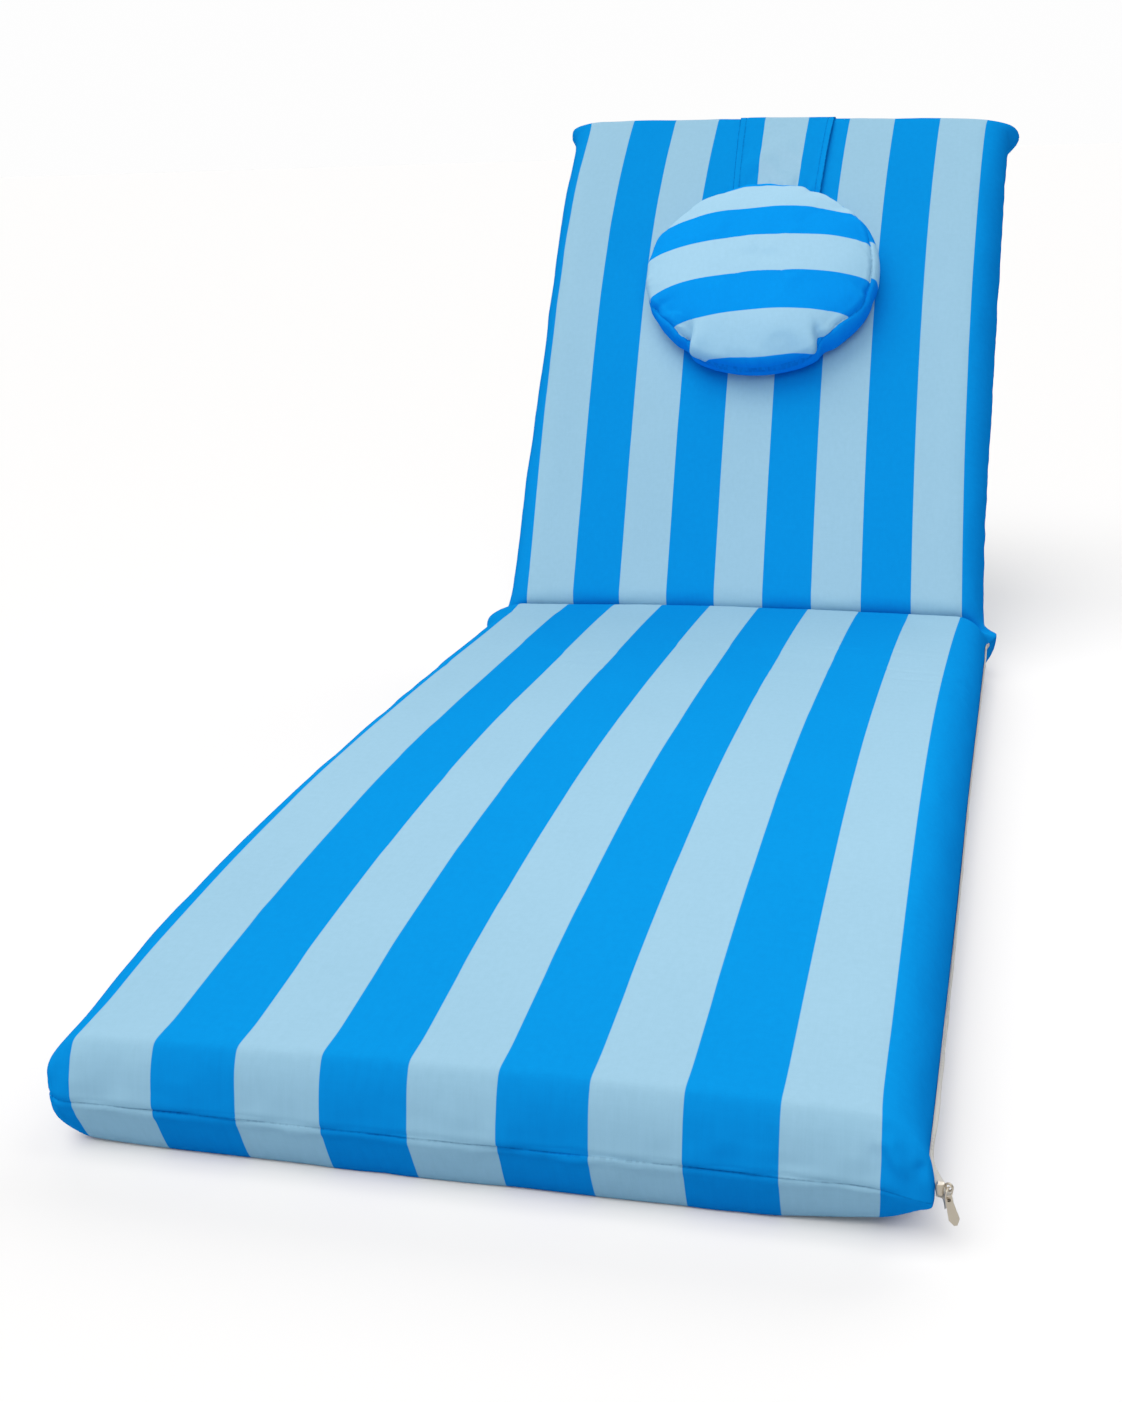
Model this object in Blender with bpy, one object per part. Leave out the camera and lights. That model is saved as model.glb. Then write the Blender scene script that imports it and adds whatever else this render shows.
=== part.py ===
"""Sun lounger cushion: a filled, folded mattress with a round head pillow on a strap and a side zip.

All sizes are in metres. X runs across the cushion, Y from the foot end to the head end and Z up.
The underside of the seat lies on the plane Z = 0, and the origin is a point on that underside.
"""
import math

import bmesh
import bpy
import numpy as np

# Main sizes of the filled cover
THICKNESS = 0.0836
HALF_WIDTH = 0.300
SEAT_LENGTH = 1.127
BACK_LENGTH = 0.728
BACK_ANGLE = math.radians(51.2)
FOOT_EDGE_Y = -0.550
NOSE_OUT = 0.032
NOSE_OUT_HEAD = 0.013

# Rounding of the long sides: reach from the seam and power of the curve. The underside is fuller
EDGE_ROUND = (0.040, 2.3)
EDGE_ROUND_UNDER = (0.030, 2.3)

# The two ends are boxier: an upright face above the seam and a nearly straight slant below it
END_ROUND = (0.016, 1.9)
END_ROUND_UNDER = (0.0175, 1.15)
CORNER_BLEND = 4.0

# Crown of the filling
CROWN_ACROSS = 0.006
BACK_BOW = 0.0289
BACK_BOW_SKEW = 0.1273
BACK_BOW_IN_MIDDLE_LAYER = 0.45

# Crease at the fold
CREASE_DEPTH = 0.028
CREASE_REACH = 0.017

# Distances along the middle layer, from the foot seam to the head seam
SEAT_RUN = SEAT_LENGTH + NOSE_OUT
FOLD_RUN = 0.5 * THICKNESS * BACK_ANGLE
BACK_START = SEAT_RUN + FOLD_RUN
BACK_RUN = BACK_LENGTH + NOSE_OUT_HEAD
TOTAL_RUN = BACK_START + BACK_RUN
FOLD_Y = FOOT_EDGE_Y + SEAT_LENGTH

# Crown along the seat: share of the seat length, rise of the top
SEAT_CROWN = (
    (0.00, 0.0000),
    (0.12, 0.0095),
    (0.35, 0.0172),
    (0.60, 0.0120),
    (0.80, 0.0068),
    (0.92, 0.0050),
    (1.00, 0.0000),
)

# Drawn-in sides: share of the whole run, extra half width on the left, extra half width on the right
SIDES = (
    (0.00, -0.001, -0.007),
    (0.06, 0.006, -0.005),
    (0.30, 0.007, 0.002),
    (0.50, 0.007, 0.001),
    (0.58, 0.006, -0.004),
    (0.62, 0.006, -0.009),
    (0.68, 0.002, -0.009),
    (0.80, -0.004, -0.003),
    (0.92, -0.001, -0.004),
    (1.00, 0.003, -0.005),
)

# The head end isn't quite square: the left side runs further up than the right
HEAD_SKEW = 0.010

# Corners moved by the seam: side, end, sideways reach, outward reach, drop, spread, radius seen from above
CORNERS = (
    (-1, "foot", 0.000, 0.000, 0.000, 0.030, 0.020),
    (1, "foot", 0.0075, 0.004, 0.007, 0.020, 0.012),
    (-1, "head", 0.012, -0.003, 0.000, 0.020, 0.010),
    (1, "head", 0.0145, -0.006, 0.000, 0.016, 0.010),
)
DROP_SPREAD = 0.006

# The underside lifts off the ground towards the foot corners: side, share of the height, reach
LIFTS = (
    (-1, 0.10, 0.060),
    (1, 0.28, 0.075),
)

# Cover cloth squeezed out beside the fold: side, distance past the fold, reach, rise, spread
TUCKS = (
    (-1, -0.024, 0.010, 0.012, 0.030),
    (1, 0.000, 0.0155, 0.011, 0.012),
)
CREASE_SHARE_AT_LEFT_EDGE = 0.30
CREASE_FADE_POWER = 6
RIM_POWER = 14

# Distances of the grid lines from a long edge, and of the sections from an end
EDGE_STEPS = (0.0, 0.0015, 0.005, 0.011, 0.019, 0.029, 0.041, 0.060, 0.100, 0.160, 0.230)
END_STEPS = (0.0, 0.0006, 0.0020, 0.0045, 0.008, 0.012, 0.0175, 0.027, 0.045, 0.070)
SEAT_SECTIONS = 13
FOLD_STEPS = (-0.105, -0.070, -0.045, -0.028, -0.016, -0.007, 0.0, 0.007, 0.016, 0.028, 0.045, 0.070, 0.105)
BACK_SECTIONS = 10

# Head pillow: place on the raised section and shape
PILLOW_X = 0.0095
PILLOW_UP = 0.4325
PILLOW_HALF_WIDTH = 0.1505
PILLOW_HALF_HEIGHT = 0.1325
PILLOW_TURN = math.radians(4.0)
PILLOW_CLEARANCE = 0.0008
PILLOW_SEGMENTS = 44
# Share of the radius, height above the raised section
PILLOW_REAR = ((0.30, 0.000), (0.60, 0.000), (0.80, 0.0010), (0.90, 0.0040), (0.96, 0.0095), (0.99, 0.0175))
PILLOW_RIM = ((1.00, 0.027),)
PILLOW_FRONT = ((0.975, 0.041), (0.92, 0.0525), (0.84, 0.0610), (0.72, 0.0680), (0.52, 0.0735), (0.26, 0.0765))
PILLOW_REAR_MIDDLE = 0.0
PILLOW_FRONT_MIDDLE = 0.0775

# Strap of the head pillow
STRAP_HALF_WIDTH_AT_PILLOW = 0.057
STRAP_HALF_WIDTH_AT_HEAD = 0.065
STRAP_X = 0.0130
STRAP_THICKNESS = 0.0018
STRAP_GAP = 0.0006
STRAP_PILLOW_SHARE = 0.925
STRAP_DOWN_THE_BACK = 0.150
STRAP_COLUMNS = 10
STRAP_ROWS_FRONT = 8
STRAP_ROWS_ROUND = 13
STRAP_ROWS_REAR = 5
STRAP_ROUND_REACH = 0.018

# Zip on the right side seam
TAPE_GAP = 0.0005
TAPE_START = 0.0066
TAPE_END = SEAT_RUN + 0.004
TAPE_ROWS = 26
# Distance from the start, tape width, tape thickness, drop of the outer edge
TAPE_SHAPE = (
    (0.000, 0.0105, 0.0012, 0.0105),
    (0.010, 0.0070, 0.0012, 0.0060),
    (0.025, 0.0040, 0.0012, 0.0012),
    (0.080, 0.0034, 0.0012, 0.0002),
    (2.000, 0.0034, 0.0012, 0.0002),
)

# Slider, ring and pull
SLIDER_CENTRE = (0.3022, -0.5796, 0.0442)
SLIDER_SIZE = (0.0052, 0.0050, 0.0085)
SLIDER_BEVEL = 0.0012
SLIDER_WAIST = 0.72
RING_CENTRE = (0.3074, -0.5796, 0.0418)
RING_MAJOR = 0.0042
RING_WIRE = 0.0006
RING_YAW = math.radians(62)
EYE_MAJOR = 0.0024
EYE_WIRE = 0.0008
PULL_LENGTH = 0.0205
PULL_WIDTH_TOP = 0.0046
PULL_WIDTH_TIP = 0.0068
PULL_THICKNESS = 0.0010
PULL_HOLE = 0.00145
PULL_HOLE_DEPTH = 0.0025
PULL_SLACK = 0.0004
PULL_TILT = math.radians(15)


def round_off(distance, rounding):
    """Height share of a rounded edge at a distance from its seam."""
    reach, power = rounding
    left = 1.0 - min(max(distance / reach, 0.0), 1.0)
    return (1.0 - left ** power) ** (1.0 / power)


def meet(first, second):
    """Height share where two rounded edges meet near a corner."""
    if min(first, second) <= 0.0:
        return 0.0
    return (first ** -CORNER_BLEND + second ** -CORNER_BLEND - 1.0) ** (-1.0 / CORNER_BLEND)


def corner_pull(distance, other_distance, radius):
    """How far a corner that is round from above moves a point inwards, away from the first seam."""
    near = max(1.0 - distance / radius, 0.0)
    other = max(1.0 - other_distance / radius, 0.0)
    return radius * near ** 2 * (1.0 - math.sqrt(1.0 - 0.5 * other ** 2))


def from_table(table, value, column):
    """Read one column of a table whose first column rises, with a smooth curve through its rows."""
    places = [row[0] for row in table]
    values = [row[column] for row in table]
    value = min(max(value, places[0]), places[-1])
    slopes = np.gradient(values, places)
    index = max(next(i for i, place in enumerate(places) if value <= place), 1) - 1
    span = places[index + 1] - places[index]
    share = (value - places[index]) / span
    start = (1.0 + 2.0 * share) * (1.0 - share) ** 2 * values[index]
    start += share * (1.0 - share) ** 2 * span * slopes[index]
    stop = share ** 2 * (3.0 - 2.0 * share) * values[index + 1]
    stop -= share ** 2 * (1.0 - share) * span * slopes[index + 1]
    return start + stop


def seat_share(run):
    """Share of the seat length at a run."""
    return min(max((run - NOSE_OUT) / SEAT_LENGTH, 0.0), 1.0)


def back_share(run):
    """Share of the raised section's length at a run."""
    return min(max((run - BACK_START) / BACK_LENGTH, 0.0), 1.0)


def sideways_drift(run):
    """Slight sideways wander of the soft cushion along its length."""
    seat = seat_share(run)
    back = back_share(run)
    return -0.0248 * seat ** 2 + 0.0386 * seat ** 3 - 0.0286 * back + 0.0281 * back ** 2


def bow(run):
    """Forward bow of the raised section's face."""
    share = back_share(run)
    return 4.0 * share * (1.0 - share) * BACK_BOW - BACK_BOW_SKEW * share * (1.0 - share) * (1.0 - 2.0 * share)


def turn(run):
    """Angle of the middle layer: zero along the seat, BACK_ANGLE along the raised section."""
    return BACK_ANGLE * min(max((run - SEAT_RUN) / FOLD_RUN, 0.0), 1.0)


def normal(run):
    """Direction of the top face in the Y-Z plane."""
    angle = turn(run)
    return np.array([-math.sin(angle), math.cos(angle)])


def middle(run):
    """Point of the middle layer in the Y-Z plane."""
    half = 0.5 * THICKNESS
    if run <= SEAT_RUN:
        return np.array([FOLD_Y - (SEAT_RUN - run), half])
    apex = np.array([FOLD_Y, THICKNESS])
    point = apex - normal(run) * half
    if run > BACK_START:
        along = run - BACK_START
        point = point + along * np.array([math.cos(BACK_ANGLE), math.sin(BACK_ANGLE)])
        point = point + normal(run) * bow(run) * BACK_BOW_IN_MIDDLE_LAYER
    return point


def crease(across, run):
    """How far the crease draws the top face in. It is shallow at the left edge."""
    from_crease = run - (SEAT_RUN + 0.5 * FOLD_RUN)
    share = 1.0 - (1.0 - CREASE_SHARE_AT_LEFT_EDGE) * max(-across, 0.0) ** CREASE_FADE_POWER
    return share * CREASE_DEPTH * math.exp(-(from_crease / CREASE_REACH) ** 2)


def corner_lift(across, run):
    """Share of the height by which the underside lifts near the foot corners."""
    share = 0.0
    for side, lift, reach in LIFTS:
        distance = (1.0 - across * side) * HALF_WIDTH + run
        share += lift * math.exp(-(distance / reach) ** 2)
    return share


def side_place(across, run):
    """Sideways place of a grid line at a run."""
    extra = from_table(SIDES, run / TOTAL_RUN, 1 if across < 0.0 else 2)
    return across * (HALF_WIDTH + extra) + sideways_drift(run)


def across_at(x, run):
    """Grid value that lies at a sideways place."""
    offset = x - sideways_drift(run)
    return offset / (HALF_WIDTH + from_table(SIDES, run / TOTAL_RUN, 1 if offset < 0.0 else 2))


def body_point(across, run, top):
    """Point of the cover. across goes from -1 at the left seam to 1 at the right seam."""
    end_distance = min(run, TOTAL_RUN - run)
    edge_distance = (1.0 - abs(across)) * HALF_WIDTH
    end_round, edge_round = (END_ROUND, EDGE_ROUND) if top else (END_ROUND_UNDER, EDGE_ROUND_UNDER)
    rounding = meet(round_off(end_distance, end_round), round_off(edge_distance, edge_round))
    height = 0.5 * THICKNESS
    if top:
        height += from_table(SEAT_CROWN, seat_share(run), 1)
        height += bow(run) * (1.0 - BACK_BOW_IN_MIDDLE_LAYER)
        height += CROWN_ACROSS * (1.0 - across ** 2)
        height = (height - crease(across, run)) * rounding
    else:
        height = -height * rounding * (1.0 - corner_lift(across, run))
    along = -HEAD_SKEW * across * back_share(run) ** 2
    x = side_place(across, run)
    rim = abs(across) ** RIM_POWER
    for side, end, sideways, outward, drop, spread, radius in CORNERS:
        if across * side > 0.0:
            distance = run if end == "foot" else TOTAL_RUN - run
            share = rim * math.exp(-(distance / spread) ** 2)
            heading = -1.0 if end == "foot" else 1.0
            x += side * (sideways * share - corner_pull(edge_distance, distance, radius))
            along += heading * (outward * share - corner_pull(distance, edge_distance, radius))
            height -= drop * rim * math.exp(-(distance / DROP_SPREAD) ** 2) * (1.0 - rounding)
    for side, past_fold, reach, rise, spread in TUCKS:
        if across * side > 0.0:
            distance = run - (SEAT_RUN + 0.5 * FOLD_RUN + past_fold)
            share = rim * math.exp(-(distance / spread) ** 2)
            x += side * reach * share
            height += rise * share * (1.0 - rounding)
    heading = np.array([math.cos(turn(run)), math.sin(turn(run))])
    y, z = middle(run) + normal(run) * height + heading * along
    return (x, y, z)


def face_point(x, up, height):
    """Point above the raised section's face, at a place across and up it."""
    run = BACK_START + up
    place = np.array(body_point(across_at(x, run), run, True))
    out = normal(run)
    return place + height * np.array([0.0, out[0], out[1]])


def across_positions():
    """Grid lines across the cushion, from -1 to 1."""
    left = [-1.0 + step / HALF_WIDTH for step in EDGE_STEPS]
    right = [-value for value in reversed(left)]
    return left + [0.0] + right


def run_positions():
    """Sections along the cushion, from the foot seam to the head seam."""
    runs = list(END_STEPS)
    fold = SEAT_RUN + 0.5 * FOLD_RUN
    seat_start, seat_stop = END_STEPS[-1], fold + FOLD_STEPS[0]
    runs += list(np.linspace(seat_start, seat_stop, SEAT_SECTIONS + 2)[1:-1])
    runs += [fold + step for step in FOLD_STEPS]
    back_start, back_stop = fold + FOLD_STEPS[-1], TOTAL_RUN - END_STEPS[-1]
    runs += list(np.linspace(back_start, back_stop, BACK_SECTIONS + 2)[1:-1])
    runs += [TOTAL_RUN - step for step in reversed(END_STEPS)]
    return runs


def make_material(name, colour, roughness, metallic):
    """Plain surface with the colour seen in the photograph."""
    material = bpy.data.materials.new(name)
    material.use_nodes = True
    shader = material.node_tree.nodes["Principled BSDF"]
    shader.inputs["Base Color"].default_value = (*colour, 1.0)
    shader.inputs["Roughness"].default_value = roughness
    shader.inputs["Metallic"].default_value = metallic
    material.diffuse_color = (*colour, 1.0)
    return material


def finish_object(name, mesh_builder, material, smooth=True):
    """Turn a bmesh into a named object with outward faces."""
    bmesh.ops.recalc_face_normals(mesh_builder, faces=mesh_builder.faces)
    if mesh_builder.calc_volume(signed=True) < 0.0:
        bmesh.ops.reverse_faces(mesh_builder, faces=mesh_builder.faces)
    for face in mesh_builder.faces:
        face.smooth = smooth
    mesh = bpy.data.meshes.new(name)
    mesh_builder.to_mesh(mesh)
    mesh_builder.free()
    item = bpy.data.objects.new(name, mesh)
    item.data.materials.append(material)
    bpy.context.collection.objects.link(item)
    return item


def add_quads(mesh_builder, rows):
    """Join neighbouring rows of vertices by quads."""
    for low, high in zip(rows, rows[1:]):
        for index in range(len(low) - 1):
            corners = (low[index], low[index + 1], high[index + 1], high[index])
            mesh_builder.faces.new(corners)


def build_body(material):
    """Filled cover: a top and a bottom grid that meet in the seam all round."""
    across = across_positions()
    runs = run_positions()
    builder = bmesh.new()
    top_rows = [[builder.verts.new(body_point(a, run, True)) for a in across] for run in runs]
    bottom_rows = []
    for row_index, run in enumerate(runs):
        row = []
        for column, a in enumerate(across):
            on_seam = row_index in (0, len(runs) - 1) or column in (0, len(across) - 1)
            row.append(top_rows[row_index][column] if on_seam else builder.verts.new(body_point(a, run, False)))
        bottom_rows.append(row)
    add_quads(builder, top_rows)
    add_quads(builder, [list(reversed(row)) for row in bottom_rows])
    return finish_object("cushion_body", builder, material)


def build_pillow(material):
    """Nearly round filled pillow that follows the face it lies on."""
    builder = bmesh.new()
    angles = [2.0 * math.pi * index / PILLOW_SEGMENTS for index in range(PILLOW_SEGMENTS)]

    def place(share, angle, height):
        across = share * PILLOW_HALF_WIDTH * math.cos(angle)
        along = share * PILLOW_HALF_HEIGHT * math.sin(angle)
        x = PILLOW_X + across * math.cos(PILLOW_TURN) - along * math.sin(PILLOW_TURN)
        up = PILLOW_UP + across * math.sin(PILLOW_TURN) + along * math.cos(PILLOW_TURN)
        return builder.verts.new(face_point(x, up, height + PILLOW_CLEARANCE))

    rings = []
    for share, height in PILLOW_REAR + PILLOW_RIM + PILLOW_FRONT:
        ring = [place(share, angle, height) for angle in angles]
        rings.append(ring + ring[:1])
    add_quads(builder, rings)
    for ring, height in ((rings[0], PILLOW_REAR_MIDDLE), (rings[-1], PILLOW_FRONT_MIDDLE)):
        centre = place(0.0, 0.0, height)
        for first, second in zip(ring, ring[1:]):
            builder.faces.new((first, second, centre))
    return finish_object("head_pillow", builder, material)


def wrap_point(x, distance):
    """Point of the cover on a path up the face, round the head end and down the rear."""
    top = distance <= TOTAL_RUN
    run = distance if top else 2.0 * TOTAL_RUN - distance
    return np.array(body_point(across_at(x, run), run, top))


def wrap_normal(x, distance):
    """Outward direction of the cover along that path."""
    step = 0.0015
    along = wrap_point(x, distance + step) - wrap_point(x, distance - step)
    out = np.cross(np.array([1.0, 0.0, 0.0]), along)
    return out / np.linalg.norm(out)


def strap_stops(x_offset):
    """Distances of the strap's rows, from the pillow's rim to its end on the rear."""
    share = x_offset / (STRAP_PILLOW_SHARE * PILLOW_HALF_WIDTH)
    reach = STRAP_PILLOW_SHARE * PILLOW_HALF_HEIGHT * math.sqrt(1.0 - share ** 2)
    start = BACK_START + PILLOW_UP + x_offset * math.sin(PILLOW_TURN) + reach
    round_start, round_stop = TOTAL_RUN - STRAP_ROUND_REACH, TOTAL_RUN + STRAP_ROUND_REACH
    stops = list(np.linspace(start, round_start, STRAP_ROWS_FRONT, endpoint=False))
    # The rows crowd towards the seam, where the end of the cushion turns fastest
    turns = np.linspace(-1.0, 1.0, STRAP_ROWS_ROUND)
    stops += [TOTAL_RUN + STRAP_ROUND_REACH * math.copysign(abs(value) ** 2.2, value) for value in turns]
    stops += list(np.linspace(round_stop, TOTAL_RUN + STRAP_DOWN_THE_BACK, STRAP_ROWS_REAR + 1)[1:])
    return stops


def build_strap(material):
    """Strap that lies on the cover from the pillow, over the head end and down the rear."""
    builder = bmesh.new()
    layers = []
    shares = np.linspace(-1.0, 1.0, STRAP_COLUMNS + 1)
    for lift in (STRAP_GAP, STRAP_GAP + STRAP_THICKNESS):
        columns = []
        for share in shares:
            offset = STRAP_X - PILLOW_X + share * STRAP_HALF_WIDTH_AT_PILLOW
            stops = strap_stops(offset)
            column = []
            for stop in stops:
                climb = min(max((stop - stops[0]) / (TOTAL_RUN - stops[0]), 0.0), 1.0)
                widening = STRAP_HALF_WIDTH_AT_HEAD - STRAP_HALF_WIDTH_AT_PILLOW
                x = STRAP_X + share * (STRAP_HALF_WIDTH_AT_PILLOW + widening * climb)
                column.append(builder.verts.new(wrap_point(x, stop) + lift * wrap_normal(x, stop)))
            columns.append(column)
        layers.append(columns)
    inner, outer = layers
    add_quads(builder, inner)
    add_quads(builder, [list(reversed(column)) for column in outer])
    add_quads(builder, [inner[0], outer[0]])
    add_quads(builder, [inner[-1], outer[-1]])
    for end in (0, -1):
        add_quads(builder, [[column[end] for column in inner], [column[end] for column in outer]])
    return finish_object("pillow_strap", builder, material)


def build_zip_tape(material):
    """Zip tape that stands out along the right side seam and flares at the foot end."""
    builder = bmesh.new()
    rows = []
    shares = np.linspace(0.0, 1.0, TAPE_ROWS + 1)
    for share in shares:
        from_start = (TAPE_END - TAPE_START) * share ** 1.7
        run = TAPE_START + from_start
        seam = np.array(body_point(1.0, run, True))
        width = from_table(TAPE_SHAPE, from_start, 1)
        thickness = from_table(TAPE_SHAPE, from_start, 2)
        drop = from_table(TAPE_SHAPE, from_start, 3)
        inner = seam + np.array([TAPE_GAP, 0.0, 0.0])
        outer = inner + np.array([math.sqrt(max(width ** 2 - drop ** 2, 0.25 * width ** 2)), 0.0, -drop])
        lift = np.array([0.0, 0.0, 0.5 * thickness])
        corners = (inner - lift, outer - lift, outer + lift, inner + lift)
        row = [builder.verts.new(corner) for corner in corners]
        rows.append(row + row[:1])
    add_quads(builder, rows)
    for row in (rows[0], rows[-1]):
        builder.faces.new(row[:4])
    return finish_object("zip_tape", builder, material, smooth=False)


def turned(points, centre, axis, angle):
    """Turn points about the Y or Z axis, then move them to a centre."""
    cosine, sine = math.cos(angle), math.sin(angle)
    matrices = {
        "y": np.array([[cosine, 0, sine], [0, 1, 0], [-sine, 0, cosine]]),
        "z": np.array([[cosine, -sine, 0], [sine, cosine, 0], [0, 0, 1]]),
    }
    return [matrices[axis] @ np.array(point) + np.array(centre) for point in points]


def add_ring(builder, centre, major, wire, yaw, steps=20, sides=8):
    """Closed upright ring of round wire, turned about the Z axis."""
    loops = []
    for step in range(steps):
        around = 2.0 * math.pi * step / steps
        points = []
        for side in range(sides):
            angle = 2.0 * math.pi * side / sides
            radius = major + wire * math.cos(angle)
            points.append((radius * math.cos(around), wire * math.sin(angle), radius * math.sin(around)))
        loop = [builder.verts.new(point) for point in turned(points, centre, "z", yaw)]
        loops.append(loop + loop[:1])
    add_quads(builder, loops + loops[:1])


def build_slider(material):
    """Slider: a waisted metal block with an eye for the ring."""
    builder = bmesh.new()
    bmesh.ops.create_cube(builder, size=1.0)
    for vertex in builder.verts:
        pinch = SLIDER_WAIST if vertex.co.z < 0.0 else 1.0
        x = vertex.co.x * SLIDER_SIZE[0] * pinch + SLIDER_CENTRE[0]
        y = vertex.co.y * SLIDER_SIZE[1] * pinch + SLIDER_CENTRE[1]
        vertex.co = (x, y, vertex.co.z * SLIDER_SIZE[2] + SLIDER_CENTRE[2])
    bmesh.ops.bevel(
        builder,
        geom=list(builder.edges),
        offset=SLIDER_BEVEL,
        segments=2,
        profile=0.5,
        affect="EDGES",
        material=-1,
    )
    slider = finish_object("zip_slider", builder, material)
    eye_builder = bmesh.new()
    eye_centre = (RING_CENTRE[0], RING_CENTRE[1], RING_CENTRE[2] + RING_MAJOR)
    add_ring(eye_builder, eye_centre, EYE_MAJOR, EYE_WIRE, RING_YAW - 0.5 * math.pi)
    eye = finish_object("zip_slider_eye_form", eye_builder, material)
    eye.hide_render = True
    eye.display_type = "WIRE"
    union = slider.modifiers.new("eye", "BOOLEAN")
    union.operation = "UNION"
    union.solver = "EXACT"
    union.object = eye
    return slider


def build_ring(material):
    """Round wire ring that passes through the slider's eye."""
    builder = bmesh.new()
    add_ring(builder, RING_CENTRE, RING_MAJOR, RING_WIRE, RING_YAW)
    return finish_object("zip_ring", builder, material)


def build_pull(material):
    """Flat tapered tab with a hole near its top, hung from the ring."""
    builder = bmesh.new()
    top, tip = 0.5 * PULL_WIDTH_TOP, 0.5 * PULL_WIDTH_TIP
    # Half outline: share of the half width, half width, height
    right_side = (
        (0.64, top, 0.0),
        (1.00, top, -0.0012),
        (1.00, top, -0.0045),
        (1.00, tip, -PULL_LENGTH + 0.0040),
        (0.32, tip, -PULL_LENGTH),
    )
    outline = [(share * half, z) for share, half, z in right_side]
    outline += [(-x, z) for x, z in reversed(outline)]
    hole = []
    for x, z in outline:
        angle = math.atan2(z + PULL_HOLE_DEPTH, x)
        hole.append((PULL_HOLE * math.cos(angle), PULL_HOLE * math.sin(angle) - PULL_HOLE_DEPTH))
    wire_z = RING_CENTRE[2] - RING_MAJOR
    rise = PULL_HOLE_DEPTH - PULL_SLACK
    top_centre = (
        RING_CENTRE[0] - math.sin(PULL_TILT) * rise,
        RING_CENTRE[1],
        wire_z + math.cos(PULL_TILT) * rise,
    )
    layers = []
    for ring, depth in ((outline, -0.5), (outline, 0.5), (hole, 0.5), (hole, -0.5)):
        points = [(x, depth * PULL_THICKNESS, z) for x, z in ring]
        placed = turned(points, top_centre, "y", -PULL_TILT)
        loop = [builder.verts.new(point) for point in placed]
        layers.append(loop + loop[:1])
    add_quads(builder, layers + layers[:1])
    return finish_object("zip_pull", builder, material, smooth=False)


def main():
    """Clear the scene and build every piece."""
    for item in list(bpy.data.objects):
        bpy.data.objects.remove(item, do_unlink=True)
    cover = make_material("cover_cloth", (0.03, 0.33, 0.80), 0.75, 0.0)
    pillow_cloth = make_material("pillow_cloth", (0.10, 0.45, 0.86), 0.75, 0.0)
    strap_cloth = make_material("strap_cloth", (0.06, 0.38, 0.82), 0.72, 0.0)
    tape_cloth = make_material("zip_tape_cloth", (0.86, 0.85, 0.82), 0.8, 0.0)
    metal = make_material("zip_metal", (0.78, 0.72, 0.64), 0.3, 1.0)
    build_body(cover)
    build_pillow(pillow_cloth)
    build_strap(strap_cloth)
    build_zip_tape(tape_cloth)
    build_slider(metal)
    build_ring(metal)
    build_pull(metal)


main()
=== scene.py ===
"""Looks of a sun lounger cushion: striped cover, round head pillow on a strap and a side zip.

Everything is in metres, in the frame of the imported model. X runs across the cushion, Y from the foot
end to the head end and Z up. The seat lies flat and the rear section is raised.
"""
import logging
import math
from dataclasses import dataclass
from enum import Enum
from typing import Callable, Optional, Sequence, Union

import bmesh
import bpy
import numpy as np
from mathutils import Matrix, Vector, noise


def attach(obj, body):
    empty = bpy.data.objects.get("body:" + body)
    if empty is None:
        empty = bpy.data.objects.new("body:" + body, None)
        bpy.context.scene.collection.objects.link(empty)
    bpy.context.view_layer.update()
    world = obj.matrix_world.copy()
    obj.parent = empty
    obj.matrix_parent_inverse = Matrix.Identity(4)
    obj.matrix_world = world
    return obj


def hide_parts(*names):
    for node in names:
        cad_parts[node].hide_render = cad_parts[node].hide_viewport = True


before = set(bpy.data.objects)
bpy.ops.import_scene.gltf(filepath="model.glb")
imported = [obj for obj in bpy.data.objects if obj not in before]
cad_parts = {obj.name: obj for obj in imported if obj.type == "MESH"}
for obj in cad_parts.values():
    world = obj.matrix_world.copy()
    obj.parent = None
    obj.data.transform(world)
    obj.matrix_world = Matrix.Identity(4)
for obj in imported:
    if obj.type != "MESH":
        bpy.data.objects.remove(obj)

log = logging.getLogger("sun_lounger_cushion")

Value = Union[float, bpy.types.NodeSocket]
Rows = Sequence[Sequence[float]]
Triple = tuple[float, float, float]
Broad = Callable[[np.ndarray], np.ndarray]
BODY = "root"
STRIPE = 0.060


class Panel(Enum):
    """The two cloth panels of a cover, with the value kept on their points."""

    TOP = 1.0
    UNDER = 0.0


class StripeWay(Enum):
    """Which coordinate of the cloth the stripes are counted along."""

    ACROSS = 0
    ALONG = 1


def read_table(table: Rows, value: np.ndarray, column: int) -> np.ndarray:
    """Read one column of a table whose first column rises, with a smooth curve through its rows.

    Args:
        table: rows of numbers.
        value: places to read at.
        column: which column to read.

    Returns:
        The column's value at each place.
    """
    places = np.array([row[0] for row in table], float)
    values = np.array([row[column] for row in table], float)
    slopes = np.gradient(values, places)
    value = np.clip(value, places[0], places[-1])
    index = np.clip(np.searchsorted(places, value, side="left") - 1, 0, len(places) - 2)
    span = places[index + 1] - places[index]
    share = (value - places[index]) / span
    start = (1.0 + 2.0 * share) * (1.0 - share) ** 2 * values[index]
    start += share * (1.0 - share) ** 2 * span * slopes[index]
    stop = share ** 2 * (3.0 - 2.0 * share) * values[index + 1]
    stop -= share ** 2 * (1.0 - share) * span * slopes[index + 1]
    return start + stop


def bell(distance: np.ndarray, reach: float) -> np.ndarray:
    """Smooth bump that is 1 at no distance and fades past the reach."""
    return np.exp(-(distance / reach) ** 2)


def smooth_step(value: np.ndarray, low: float, high: float) -> np.ndarray:
    """Smooth change from 0 at low to 1 at high, where low may also be the larger number."""
    share = np.clip((value - low) / (high - low), 0.0, 1.0)
    return share * share * (3.0 - 2.0 * share)


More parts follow.
